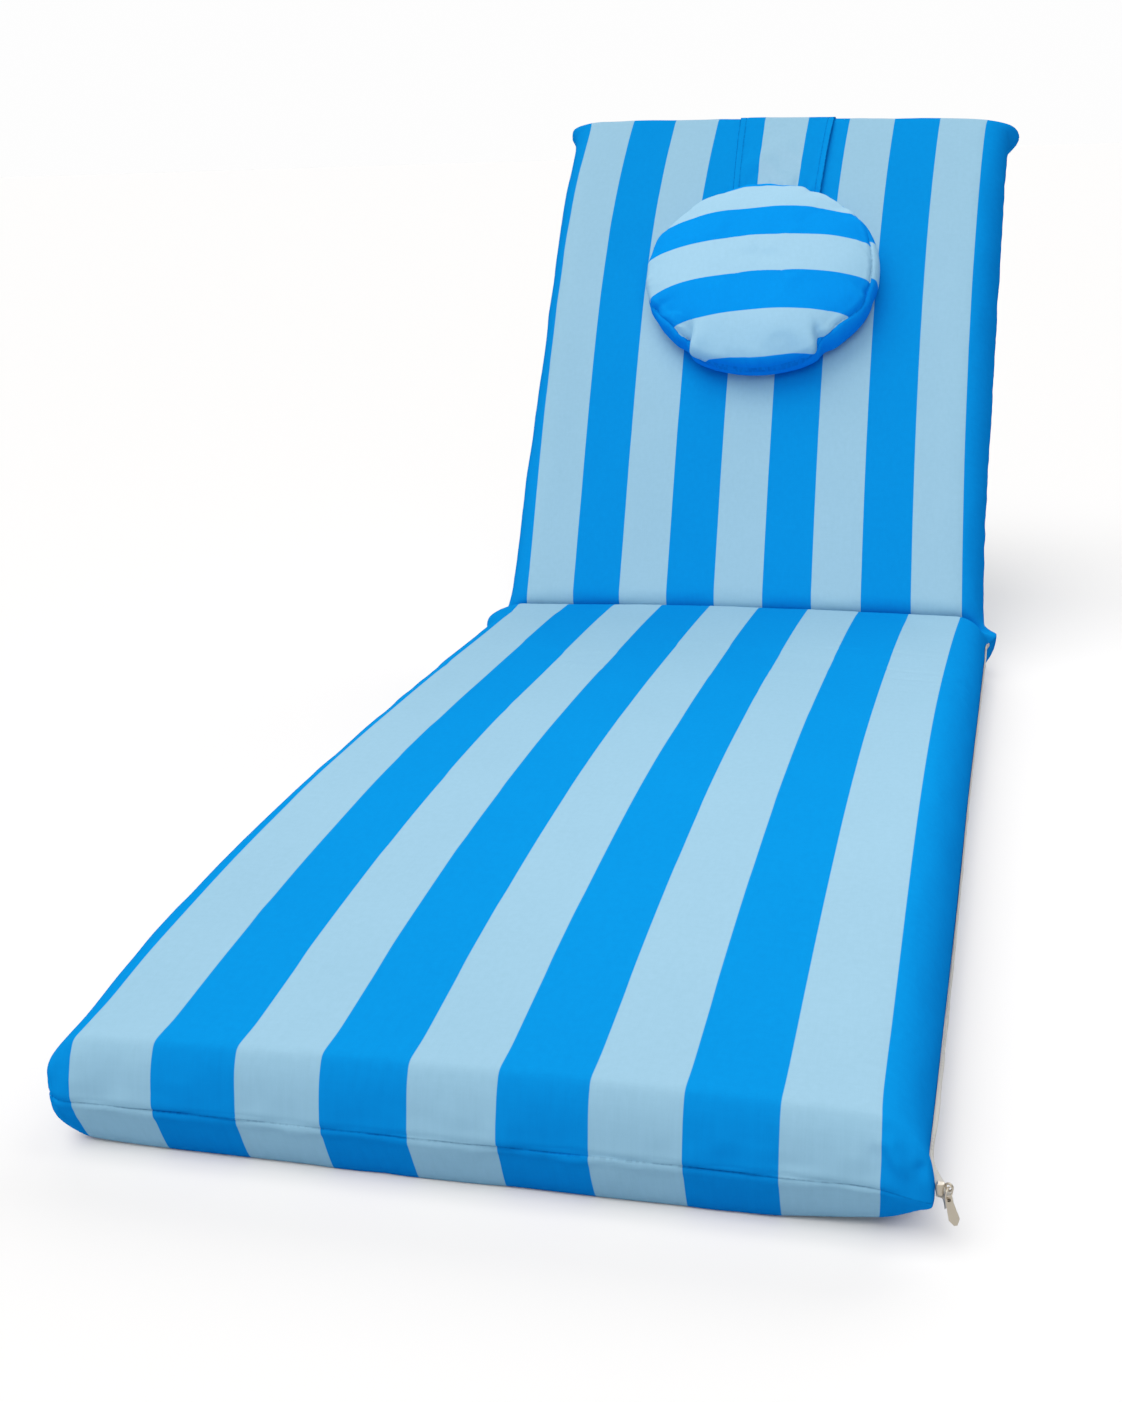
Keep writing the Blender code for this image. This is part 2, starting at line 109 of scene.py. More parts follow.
def ripple(places: np.ndarray, seed: float = 0.0) -> np.ndarray:
    """Even random waviness between about -1 and 1, the same on each run.

    Args:
        places: points (N, 2) whose unit is one wave.
        seed: moves the pattern, so that two uses differ.

    Returns:
        One value for each point.
    """
    return np.array([noise.noise(Vector((a, b, seed))) for a, b in places]) * 1.6


@dataclass(frozen=True)
class CushionForm:
    """Shape of the filled cover: a folded, crowned mattress whose two panels meet in a seam all round."""

    thickness: float = 0.0836
    half_width: float = 0.300
    seat_length: float = 1.127
    back_length: float = 0.728
    back_angle: float = math.radians(51.2)
    foot_edge_y: float = -0.550
    nose_out: float = 0.032
    nose_out_head: float = 0.013
    # Reach from the seam and power of the curve
    edge_round: tuple[float, float] = (0.040, 2.3)
    edge_round_under: tuple[float, float] = (0.030, 2.3)
    end_round: tuple[float, float] = (0.016, 1.9)
    end_round_under: tuple[float, float] = (0.0175, 1.15)
    corner_blend: float = 4.0
    crown_across: float = 0.006
    back_bow: float = 0.0289
    back_bow_skew: float = 0.1273
    bow_in_middle_layer: float = 0.45
    crease_depth: float = 0.028
    crease_reach: float = 0.017
    crease_at_left_edge: float = 0.30
    crease_fade_power: float = 6.0
    head_skew: float = 0.010
    rim_power: float = 14.0
    drop_spread: float = 0.006
    # Share of the seat length, rise of the top
    seat_crown: Rows = (
        (0.00, 0.0000), (0.12, 0.0095), (0.35, 0.0172), (0.60, 0.0120), (0.80, 0.0048), (0.92, 0.0022), (1.00, 0.0),
    )
    # Share of the whole run, extra half width on the left, extra half width on the right
    sides: Rows = (
        (0.00, -0.001, -0.007), (0.06, 0.006, -0.005), (0.30, 0.007, 0.002), (0.50, 0.007, 0.001),
        (0.58, 0.006, -0.004), (0.62, 0.006, -0.009), (0.68, 0.002, -0.009), (0.80, -0.004, -0.003),
        (0.92, -0.001, -0.004), (1.00, 0.003, -0.005),
    )
    # Side, heading of the end, sideways reach, outward reach, drop, spread, radius seen from above
    corners: Rows = (
        (-1, -1, 0.0000, 0.000, 0.000, 0.030, 0.020), (1, -1, 0.0075, 0.004, 0.007, 0.020, 0.012),
        (-1, 1, 0.0120, -0.003, 0.000, 0.020, 0.010), (1, 1, 0.0145, -0.006, 0.000, 0.016, 0.010),
    )
    # Underside lifting off the ground at the foot corners: side, share of the height, reach
    lifts: Rows = ((-1, 0.10, 0.060), (1, 0.28, 0.075))
    # Cloth squeezed out beside the fold: side, distance past the fold, reach, rise, spread
    tucks: Rows = ((-1, -0.026, 0.018, 0.012, 0.034), (1, 0.000, 0.0155, 0.011, 0.012))

    @property
    def seat_run(self) -> float:
        """Distance from the foot seam to the fold, along the middle layer."""
        return self.seat_length + self.nose_out

    @property
    def fold_run(self) -> float:
        """Length of the middle layer's turn at the fold."""
        return 0.5 * self.thickness * self.back_angle

    @property
    def fold(self) -> float:
        """Distance from the foot seam to the middle of the fold."""
        return self.seat_run + 0.5 * self.fold_run

    @property
    def back_start(self) -> float:
        """Distance from the foot seam to the start of the raised section."""
        return self.seat_run + self.fold_run

    @property
    def total_run(self) -> float:
        """Distance from the foot seam to the head seam."""
        return self.back_start + self.back_length + self.nose_out_head

    def seat_share(self, run: np.ndarray) -> np.ndarray:
        """Share of the seat length at a run."""
        return np.clip((run - self.nose_out) / self.seat_length, 0.0, 1.0)

    def back_share(self, run: np.ndarray) -> np.ndarray:
        """Share of the raised section's length at a run."""
        return np.clip((run - self.back_start) / self.back_length, 0.0, 1.0)

    def drift(self, run: np.ndarray) -> np.ndarray:
        """Slight sideways wander of the soft cushion along its length."""
        seat, back = self.seat_share(run), self.back_share(run)
        return -0.0248 * seat ** 2 + 0.0386 * seat ** 3 - 0.0286 * back + 0.0281 * back ** 2

    def bow(self, run: np.ndarray) -> np.ndarray:
        """Forward bow of the raised section's face."""
        share = self.back_share(run)
        even = 4.0 * share * (1.0 - share) * self.back_bow
        return even - self.back_bow_skew * share * (1.0 - share) * (1.0 - 2.0 * share)

    def turn(self, run: np.ndarray) -> np.ndarray:
        """Angle of the middle layer above the ground."""
        return self.back_angle * np.clip((run - self.seat_run) / self.fold_run, 0.0, 1.0)

    def middle(self, run: np.ndarray) -> tuple[np.ndarray, np.ndarray]:
        """Y and Z of the middle layer."""
        half = 0.5 * self.thickness
        fold_y = self.foot_edge_y + self.seat_length
        angle = self.turn(run)
        along = np.maximum(run - self.back_start, 0.0)
        lift = self.bow(run) * self.bow_in_middle_layer * (along > 0.0)
        on_seat = run <= self.seat_run
        y = fold_y + half * np.sin(angle) + along * math.cos(self.back_angle) - lift * np.sin(angle)
        z = self.thickness - half * np.cos(angle) + along * math.sin(self.back_angle) + lift * np.cos(angle)
        return np.where(on_seat, fold_y - (self.seat_run - run), y), np.where(on_seat, half, z)

    @staticmethod
    def round_off(distance: np.ndarray, reach: np.ndarray, power: np.ndarray) -> np.ndarray:
        """Height share of a rounded edge at a distance from its seam."""
        left = 1.0 - np.clip(distance / reach, 0.0, 1.0)
        return (1.0 - left ** power) ** (1.0 / power)

    def roundings(self, across: np.ndarray, run: np.ndarray, on_top: np.ndarray) -> tuple[np.ndarray, np.ndarray]:
        """Height shares given by the nearest end and by the nearest long edge."""
        end, edge = np.minimum(run, self.total_run - run), (1.0 - np.abs(across)) * self.half_width
        end_reach, end_power = (np.where(on_top, *pair) for pair in zip(self.end_round, self.end_round_under))
        edge_reach, edge_power = (np.where(on_top, *pair) for pair in zip(self.edge_round, self.edge_round_under))
        return self.round_off(end, end_reach, end_power), self.round_off(edge, edge_reach, edge_power)

    def meet(self, first: np.ndarray, second: np.ndarray) -> np.ndarray:
        """Height share where two rounded edges meet near a corner."""
        blend = self.corner_blend
        low = np.minimum(first, second) <= 1e-6
        first, second = np.maximum(first, 1e-6), np.maximum(second, 1e-6)
        return np.where(low, 0.0, (first ** -blend + second ** -blend - 1.0) ** (-1.0 / blend))

    @staticmethod
    def corner_pull(distance: np.ndarray, other_distance: np.ndarray, radius: float) -> np.ndarray:
        """How far a corner that is round from above moves a point inwards, away from the first seam."""
        near = np.maximum(1.0 - distance / radius, 0.0)
        other = np.maximum(1.0 - other_distance / radius, 0.0)
        return radius * near ** 2 * (1.0 - np.sqrt(1.0 - 0.5 * other ** 2))

    def width_at(self, run: np.ndarray, right: np.ndarray) -> np.ndarray:
        """Half width of the left or the right side at a run."""
        share = run / self.total_run
        extra = np.where(right, read_table(self.sides, share, 2), read_table(self.sides, share, 1))
        return self.half_width + extra

    def across_at(self, x: np.ndarray, run: np.ndarray) -> np.ndarray:
        """Grid value, from -1 to 1, that lies at a sideways place."""
        offset = x - self.drift(run)
        return offset / self.width_at(run, offset >= 0.0)

    def top_height(self, across: np.ndarray, run: np.ndarray) -> np.ndarray:
        """Height of the top panel over the middle layer, away from the edges."""
        height = 0.5 * self.thickness + read_table(self.seat_crown, self.seat_share(run), 1)
        height = height + self.bow(run) * (1.0 - self.bow_in_middle_layer) + self.crown_across * (1.0 - across ** 2)
        shallow = (1.0 - self.crease_at_left_edge) * np.maximum(-across, 0.0) ** self.crease_fade_power
        return height - (1.0 - shallow) * self.crease_depth * bell(run - self.fold, self.crease_reach)

    def points(self, across: np.ndarray, run: np.ndarray, top: np.ndarray) -> np.ndarray:
        """Points of the cover.

        Args:
            across: from -1 at the left seam to 1 at the right seam.
            run: distance from the foot seam.
            top: 1 on the top panel, 0 on the under panel.

        Returns:
            Points (N, 3).
        """
        on_top = np.asarray(top) > 0.5
        edge_distance = (1.0 - np.abs(across)) * self.half_width
        rounding = self.meet(*self.roundings(across, run, on_top))
        lift = np.zeros_like(run)
        for side, share, reach in self.lifts:
            lift = lift + share * bell((1.0 - across * side) * self.half_width + run, reach)
        full = self.top_height(across, run)
        height = rounding * np.where(on_top, full, -0.5 * self.thickness * (1.0 - lift))
        along = -self.head_skew * across * self.back_share(run) ** 2
        x = across * self.width_at(run, across >= 0.0) + self.drift(run)
        rim = np.abs(across) ** self.rim_power
        for side, heading, sideways, outward, drop, spread, radius in self.corners:
            here = across * side > 0.0
            distance = run if heading < 0 else self.total_run - run
            share = rim * bell(distance, spread)
            x = x + here * side * (sideways * share - self.corner_pull(edge_distance, distance, radius))
            along = along + here * heading * (outward * share - self.corner_pull(distance, edge_distance, radius))
            height = height - here * drop * rim * bell(distance, self.drop_spread) * (1.0 - rounding)
        for side, past_fold, reach, rise, spread in self.tucks:
            share = rim * bell(run - self.fold - past_fold, spread) * (across * side > 0.0)
            x = x + side * reach * share
            height = height + rise * share * (1.0 - rounding)
        angle = self.turn(run)
        y, z = self.middle(run)
        y = y - np.sin(angle) * height + np.cos(angle) * along
        z = z + np.cos(angle) * height + np.sin(angle) * along
        return np.stack([x, y, z], axis=-1)

    def face_points(self, x: np.ndarray, up: np.ndarray, height: np.ndarray) -> np.ndarray:
        """Points above the raised section's face.

        Args:
            x: sideways places.
            up: distances up the raised section.
            height: distances out from the face.

        Returns:
            Points (N, 3).
        """
        run = self.back_start + up
        base = self.points(self.across_at(x, run), run, np.ones_like(run))
        out = np.array([0.0, -math.sin(self.back_angle), math.cos(self.back_angle)])
        return base + np.asarray(height)[..., None] * out

    def wrap_points(self, x: np.ndarray, distance: np.ndarray, lift: np.ndarray) -> np.ndarray:
        """Points on a path up the face, round the head end and down the rear.

        Args:
            x: sideways places.
            distance: distances from the foot seam, past the head seam on the rear.
            lift: distances out from the cover.

        Returns:
            Points (N, 3).
        """

        def on_cover(far: np.ndarray) -> np.ndarray:
            """Points of the cover itself at these distances."""
            top = far <= self.total_run
            run = np.where(top, far, 2.0 * self.total_run - far)
            return self.points(self.across_at(x, run), run, top.astype(float))

        step = 0.0015
        along = on_cover(distance + step) - on_cover(distance - step)
        out = np.cross(np.array([1.0, 0.0, 0.0]), along)
        out /= np.linalg.norm(out, axis=-1, keepdims=True)
        return on_cover(distance) + np.asarray(lift)[..., None] * out


class Board:
    """Places nodes on a node tree and wires them."""

    def __init__(self, tree: bpy.types.NodeTree) -> None:
        """Start on a node tree."""
        self.tree = tree

    def add(self, kind: str, inputs: Optional[dict[str, object]] = None, **settings: object) -> bpy.types.Node:
        """Place a node.

        Args:
            kind: the node's type name.
            inputs: what feeds its inputs, a socket or a constant for each input's name.
            settings: the node's own settings.

        Returns:
            The node.
        """
        node = self.tree.nodes.new(kind)
        for name, value in settings.items():
            setattr(node, name, value)
        for name, value in (inputs or {}).items():
            self.feed(node.inputs[name], value)
        return node

    def feed(self, socket: bpy.types.NodeSocket, value: object) -> None:
        """Link a socket to an input, or set the input's own value."""
        if isinstance(value, bpy.types.NodeSocket):
            self.tree.links.new(value, socket)
        else:
            socket.default_value = value

    def math(self, operation: str, first: Value, second: Value = 0.0, clamp: bool = False) -> bpy.types.NodeSocket:
        """One sum or function of one or two numbers."""
        node = self.add("ShaderNodeMath", operation=operation, use_clamp=clamp)
        self.feed(node.inputs[0], first)
        self.feed(node.inputs[1], second)
        return node.outputs[0]

    def soft_edge(self, value: Value, low: Value, high: Value) -> bpy.types.NodeSocket:
        """Smooth rise from 0 at low to 1 at high."""
        inputs = {"Value": value, "From Min": low, "From Max": high}
        return self.add("ShaderNodeMapRange", inputs, interpolation_type="SMOOTHSTEP").outputs["Result"]

    def mix(self, share: Value, first: object, second: object, how: str = "MIX") -> bpy.types.NodeSocket:
        """Mix of two colours."""
        node = self.add("ShaderNodeMix", data_type="RGBA", blend_type=how)
        self.feed(node.inputs[0], share)
        self.feed(node.inputs[6], first)
        self.feed(node.inputs[7], second)
        return node.outputs[2]

    def noise(self, place: bpy.types.NodeSocket, stretch: Triple, detail: float) -> bpy.types.NodeSocket:
        """Cloudy value from 0 to 1, stretched along the three directions."""
        scaled = self.add("ShaderNodeVectorMath", {0: place, 1: stretch}, operation="MULTIPLY")
        inputs = {"Vector": scaled.outputs[0], "Scale": 1.0, "Detail": detail, "Roughness": 0.55}
        return self.add("ShaderNodeTexNoise", inputs).outputs[0]


class FinishGroups:
    """Shader node groups that several finishes share. Each is built once."""

    def __init__(self) -> None:
        """Build the groups."""
        self.stripes = self.make_stripes()
        self.weave = self.make_weave()
        self.handling = self.make_handling()

    @staticmethod
    def new_group(
        name: str, inputs: Sequence[tuple[str, str]], outputs: Sequence[str],
    ) -> tuple[Board, bpy.types.Node, bpy.types.Node]:
        """Start a group with named sockets.

        Args:
            name: the group's name.
            inputs: name and kind of each input, a kind being Float or Vector.
            outputs: names of the number outputs.

        Returns:
            The board, the input node and the output node.
        """
        tree = bpy.data.node_groups.new(name, "ShaderNodeTree")
        for label, kind in inputs:
            tree.interface.new_socket(label, in_out="INPUT", socket_type="NodeSocket" + kind)
        for label in outputs:
            tree.interface.new_socket(label, in_out="OUTPUT", socket_type="NodeSocketFloat")
        board = Board(tree)
        return board, board.add("NodeGroupInput"), board.add("NodeGroupOutput")

    def make_stripes(self) -> bpy.types.NodeTree:
        """Printed block stripes: 1 on a light stripe, 0 on a dark one or beside the striped width."""
        inputs = [(name, "Float") for name in ("Across", "Pitch", "Shift", "Bands", "Softness")]
        board, start, end = self.new_group("printed_stripes", inputs, ["Light"])
        pitch = start.outputs["Pitch"]
        half_bands = board.math("MULTIPLY", start.outputs["Bands"], 0.5)
        counted = board.math("DIVIDE", board.math("SUBTRACT", start.outputs["Across"], start.outputs["Shift"]), pitch)
        wave = board.math("SINE", board.math("MULTIPLY", board.math("ADD", counted, half_bands), math.pi))
        soft = board.math("DIVIDE", start.outputs["Softness"], pitch)
        wave_soft = board.math("MULTIPLY", soft, math.pi)
        striped = board.soft_edge(wave, board.math("MULTIPLY", wave_soft, -1.0), wave_soft)
        left = board.math("SUBTRACT", half_bands, board.math("ABSOLUTE", counted))
        inside = board.soft_edge(left, board.math("MULTIPLY", soft, -1.0), soft)
        board.feed(end.inputs["Light"], board.math("MULTIPLY", striped, inside))
        return board.tree

    def make_weave(self) -> bpy.types.NodeTree:
        """Plain weave: its height and the tone of its threads, uneven along both ways of the cloth."""
        inputs = [("Place", "Vector"), ("Threads", "Float")]
        board, start, end = self.new_group("plain_weave", inputs, ["Height", "Tone"])
        place, threads = start.outputs["Place"], start.outputs["Threads"]
        parts = board.add("ShaderNodeSeparateXYZ", {0: place})
        waves = []
        for index in (0, 1):
            turned = board.math("MULTIPLY", board.math("MULTIPLY", parts.outputs[index], threads), 2.0 * math.pi)
            waves.append(board.math("SINE", turned))
        crossing = board.math("MULTIPLY", waves[0], waves[1])
        warp = board.noise(place, (900.0, 45.0, 1.0), 2.0)
        weft = board.noise(place, (45.0, 900.0, 1.0), 2.0)
        slubs = board.math("ADD", warp, weft)
        height = board.math("ADD", board.math("MULTIPLY", crossing, 0.2), board.math("MULTIPLY", slubs, 0.5))
        mottle = board.noise(place, (190.0, 150.0, 1.0), 4.0)
        tone = board.math("ADD", board.math("MULTIPLY", slubs, 0.25), board.math("MULTIPLY", mottle, 0.5))
        board.feed(end.inputs["Height"], height)
        board.feed(end.inputs["Tone"], tone)
        return board.tree

    def make_handling(self) -> bpy.types.NodeTree:
        """Soft unevenness of a cover that has been filled and handled: shallow dents and faint cloudy tone."""
        board, start, end = self.new_group("handled_cloth", [("Place", "Vector")], ["Dents", "Cloud"])
        place = start.outputs["Place"]
        broad = board.noise(place, (9.0, 7.0, 7.0), 2.0)
        small = board.noise(place, (42.0, 30.0, 30.0), 3.0)
        dents = board.math("ADD", board.math("MULTIPLY", broad, 0.7), board.math("MULTIPLY", small, 0.3))
        board.feed(end.inputs["Dents"], dents)
        board.feed(end.inputs["Cloud"], board.noise(place, (5.0, 6.0, 5.0), 4.0))
        return board.tree


@dataclass(frozen=True)
class StripedCloth:
    """Finish of a cover panel: block stripes printed on plain woven cloth."""

    name: str
    light: Triple = (0.190, 0.402, 0.610)
    dark: Triple = (0.0015, 0.163, 0.615)
    way: StripeWay = StripeWay.ACROSS
    pitch: float = STRIPE
    shift: float = -0.0050
    bands: float = 9.0
    print_softness: float = 0.0004
    threads: float = 1300.0
    weave_depth: float = 0.00010
    dent_depth: float = 0.0011
    tone_change: float = 0.30
    cloud_change: float = 0.10
    roughness: float = 0.55
    gloss: float = 0.12
    # Width and strength of the painted shade along the seams
    seam_line: float = 0.0006
    seam_shade: float = 0.26
    grey_bounce: float = 0.20
    stitch: float = 0.0042

    def material(self, groups: FinishGroups) -> bpy.types.Material:
        """Build the material.

        Args:
            groups: the shared node groups.

        Returns:
            A material that reads the piece's own cloth map.
        """
        made = bpy.data.materials.new(self.name)
        made.use_nodes = True
        made.node_tree.nodes.clear()
        board = Board(made.node_tree)
        place = board.add("ShaderNodeUVMap", uv_map="cloth").outputs["UV"]
        parts = board.add("ShaderNodeSeparateXYZ", {0: place})
        stripes = board.add("ShaderNodeGroup", node_tree=groups.stripes)
        values = {"Across": parts.outputs[self.way.value], "Pitch": self.pitch, "Shift": self.shift}
        values.update({"Bands": self.bands, "Softness": self.print_softness})
        for name, value in values.items():
            board.feed(stripes.inputs[name], value)
        weave = board.add("ShaderNodeGroup", node_tree=groups.weave)
        board.feed(weave.inputs["Place"], place)
        board.feed(weave.inputs["Threads"], self.threads)
        handling = board.add("ShaderNodeGroup", node_tree=groups.handling)
        board.feed(handling.inputs["Place"], place)
        printed = board.mix(stripes.outputs["Light"], (*self.dark, 1.0), (*self.light, 1.0))
        thread_tone = board.math("MULTIPLY", board.math("SUBTRACT", weave.outputs["Tone"], 0.5), self.tone_change)
        cloud_tone = board.math("MULTIPLY", board.math("SUBTRACT", handling.outputs["Cloud"], 0.5), self.cloud_change)
        tone = board.math("ADD", board.math("ADD", thread_tone, cloud_tone), 1.0)
        # The seam's painted shade darkens the tone along the seams and at the stitch holes.
        tone = board.math("MULTIPLY", tone, self.seam_painted_shade(board, place))
        toned = board.add("ShaderNodeVectorMath", {0: printed}, operation="SCALE")
        board.feed(toned.inputs["Scale"], tone)
        grey = board.add("ShaderNodeRGBToBW", {"Color": toned.outputs[0]}).outputs[0]
        thrown = board.math("MULTIPLY", board.add("ShaderNodeLightPath").outputs["Is Diffuse Ray"], self.grey_bounce)
        colour = board.mix(thrown, toned.outputs[0], grey)
        rough = board.math("ADD", board.math("MULTIPLY", weave.outputs["Tone"], 0.12), self.roughness - 0.06)
        height = board.math("MULTIPLY", weave.outputs["Height"], self.weave_depth)
        dents = board.math("MULTIPLY", handling.outputs["Dents"], self.dent_depth)
        relief = board.add("ShaderNodeBump", {"Height": board.math("ADD", height, dents), "Distance": 1.0})
        shader = board.add("ShaderNodeBsdfPrincipled", {"Base Color": colour, "Roughness": rough})
        board.feed(shader.inputs["Normal"], relief.outputs["Normal"])
        shader.inputs["Specular IOR Level"].default_value = 0.0
        shader.inputs["Coat Roughness"].default_value = self.roughness
        board.feed(shader.inputs["Coat Weight"], board.math("MULTIPLY", stripes.outputs["Light"], self.gloss))
        output = board.add("ShaderNodeOutputMaterial")
        board.feed(output.inputs["Surface"], shader.outputs["BSDF"])
        return made

    def seam_painted_shade(self, board: Board, place: bpy.types.NodeSocket) -> bpy.types.NodeSocket:
        """Painted shade of the sewn line: dark where the cloth dips into the seam, deeper at each stitch hole."""
        gap = board.add("ShaderNodeAttribute", attribute_name="seam", attribute_type="GEOMETRY").outputs["Fac"]
        inside = board.soft_edge(gap, self.seam_line * 1.6, self.seam_line * 0.5)
        holes = board.noise(place, (1.0 / self.stitch,) * 3, 1.0)
        depth = board.math("ADD", board.math("MULTIPLY", board.soft_edge(holes, 0.42, 0.58), 0.55), 0.45)
        dark = board.math("MULTIPLY", board.math("MULTIPLY", inside, depth), self.seam_shade)
        return board.math("SUBTRACT", 1.0, dark)


@dataclass(frozen=True)
class PlainFinish:
    """Finish of tape or metal: one colour made uneven by fine grain."""

    name: str
    colour: Triple
    roughness: float
    metallic: float = 0.0
    grain: Triple = (900.0, 900.0, 900.0)
    grain_depth: float = 0.00006
    tone_change: float = 0.15
    specular: float = 0.35

    def material(self) -> bpy.types.Material:
        """Build the material, which reads Object coordinates."""
        made = bpy.data.materials.new(self.name)
        made.use_nodes = True
        made.node_tree.nodes.clear()
        board = Board(made.node_tree)
        place = board.add("ShaderNodeTexCoord").outputs["Object"]
        grain = board.noise(place, self.grain, 3.0)
        tone = board.math("ADD", board.math("MULTIPLY", board.math("SUBTRACT", grain, 0.5), self.tone_change), 1.0)
        toned = board.add("ShaderNodeVectorMath", {0: self.colour}, operation="SCALE")
        board.feed(toned.inputs["Scale"], tone)
        rough = board.math("ADD", board.math("MULTIPLY", grain, 0.16), self.roughness - 0.08)
        height = board.math("MULTIPLY", grain, self.grain_depth)
        relief = board.add("ShaderNodeBump", {"Height": height, "Distance": 1.0})
        shader = board.add("ShaderNodeBsdfPrincipled", {"Base Color": toned.outputs[0], "Roughness": rough})
        board.feed(shader.inputs["Normal"], relief.outputs["Normal"])
        shader.inputs["Metallic"].default_value = self.metallic
        shader.inputs["Specular IOR Level"].default_value = self.specular
        output = board.add("ShaderNodeOutputMaterial")
        board.feed(output.inputs["Surface"], shader.outputs["BSDF"])
        return made


class Workshop:
    """Steps that every sewn or metal piece shares."""

    @staticmethod
    def new_piece(name: str, builder: bmesh.types.BMesh, material: bpy.types.Material) -> bpy.types.Object:
        """Turn a bmesh into a smooth, named piece that rides on the cushion.

        Args:
            name: the piece's name.
            builder: the finished bmesh, which is freed.
            material: the piece's finish.

        Returns:
            The object.
        """
        for face in builder.faces:
            face.smooth = True
        mesh = bpy.data.meshes.new(name)
        builder.to_mesh(mesh)
        builder.free()
        mesh.materials.append(material)
        piece = bpy.data.objects.new(name, mesh)
        bpy.context.scene.collection.objects.link(piece)
        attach(piece, BODY)
        return piece

    @staticmethod
    def start(*kept: str) -> bmesh.types.BMesh:
        """New bmesh whose vertices can keep a number under each of these names."""
        builder = bmesh.new()
        for name in kept:
            builder.verts.layers.float.new(name)
        return builder

    @staticmethod
    def grid(
        builder: bmesh.types.BMesh, columns: int, rows: int,
    ) -> tuple[list[bmesh.types.BMVert], np.ndarray, np.ndarray]:
        """Lay down a flat grid.

        Args:
            builder: where the grid goes.
            columns: number of its points across.
            rows: number of its points along.

        Returns:
            The points, and the column and row number of each.
        """
        made = bmesh.ops.create_grid(builder, x_segments=columns - 1, y_segments=rows - 1, size=1.0)
        verts = made["verts"]
        flat = np.array([vert.co for vert in verts])
        column = np.rint((flat[:, 0] + 1.0) * 0.5 * (columns - 1)).astype(int)
        row = np.rint((flat[:, 1] + 1.0) * 0.5 * (rows - 1)).astype(int)
        return verts, column, row

    @staticmethod
    def place(verts: Sequence[bmesh.types.BMVert], points: np.ndarray) -> None:
        """Move each vertex to its point."""
        for vert, point in zip(verts, points.tolist()):
            vert.co = point

    @staticmethod
    def keep(builder: bmesh.types.BMesh, name: str, verts: Sequence[bmesh.types.BMVert], values: np.ndarray) -> None:
        """Store one number on each vertex under a name."""
        layer = builder.verts.layers.float[name]
        for vert, value in zip(verts, values.tolist()):
            vert[layer] = value

    @staticmethod
    def keep_on_mesh(piece: bpy.types.Object, name: str, values: np.ndarray) -> None:
        """Store one number on each vertex of a finished mesh under a name."""
        layer = piece.data.attributes.new(name, "FLOAT", "POINT")
        layer.data.foreach_set("value", values.astype(np.float32))

    @staticmethod
    def kept(piece: bpy.types.Object, name: str) -> np.ndarray:
        """Read back the numbers stored on a piece's vertices."""
        values = np.zeros(len(piece.data.vertices), np.float32)
        piece.data.attributes[name].data.foreach_get("value", values)
        return values.astype(float)

    @staticmethod
    def coordinates(piece: bpy.types.Object, normals: bool = False) -> np.ndarray:
        """Places or directions (N, 3) of a piece's vertices."""
        values = np.zeros(len(piece.data.vertices) * 3, np.float32)
        if normals:
            piece.data.vertex_normals.foreach_get("vector", values)
        else:
            piece.data.vertices.foreach_get("co", values)
        return values.reshape(-1, 3).astype(float)

    @staticmethod
    def move_to(piece: bpy.types.Object, points: np.ndarray) -> None:
        """Set the places of a piece's vertices."""
        piece.data.vertices.foreach_set("co", points.astype(np.float32).ravel())
        piece.data.update()

    @staticmethod
    def map_cloth(
        piece: bpy.types.Object, across: np.ndarray, along: np.ndarray, rear: Optional[np.ndarray] = None,
    ) -> None:
        """Give a piece its cloth map, in metres of cloth, from one place for each vertex.

        Args:
            piece: the piece.
            across: places across the cloth.
            along: places along the cloth.
            rear: places along the cloth of the under panel, where that panel is cut from another part of it.
        """
        layer = piece.data.uv_layers.get("cloth") or piece.data.uv_layers.new(name="cloth")
        index = np.zeros(len(piece.data.loops), np.int32)
        piece.data.loops.foreach_get("vertex_index", index)
        along_loops = along[index]
        if rear is not None:
            starts, totals = (np.zeros(len(piece.data.polygons), np.int32) for _ in range(2))
            piece.data.polygons.foreach_get("loop_start", starts)
            piece.data.polygons.foreach_get("loop_total", totals)
            lowest = np.minimum.reduceat(Workshop.kept(piece, "top")[index], starts)
            along_loops = np.where(np.repeat(lowest, totals) < 0.4, rear[index], along_loops)
        pairs = np.stack([across[index], along_loops], axis=-1)
        layer.data.foreach_set("uv", pairs.astype(np.float32).ravel())

    @staticmethod
    def apply_modifiers(piece: bpy.types.Object) -> None:
        """Make what the modifiers show the piece's own mesh."""
        graph = bpy.context.evaluated_depsgraph_get()
        shown = piece.evaluated_get(graph)
        made = bpy.data.meshes.new_from_object(shown, preserve_all_data_layers=True, depsgraph=graph)
        old = piece.data
        piece.modifiers.clear()
        piece.data = made
        made.name = piece.name
        bpy.data.meshes.remove(old)

    @classmethod
    def subdivide(cls, piece: bpy.types.Object) -> None:
        """One applied level of Subdivision Surface."""
        finer = piece.modifiers.new("finer", "SUBSURF")
        finer.levels = 1
        finer.render_levels = 1
        cls.apply_modifiers(piece)


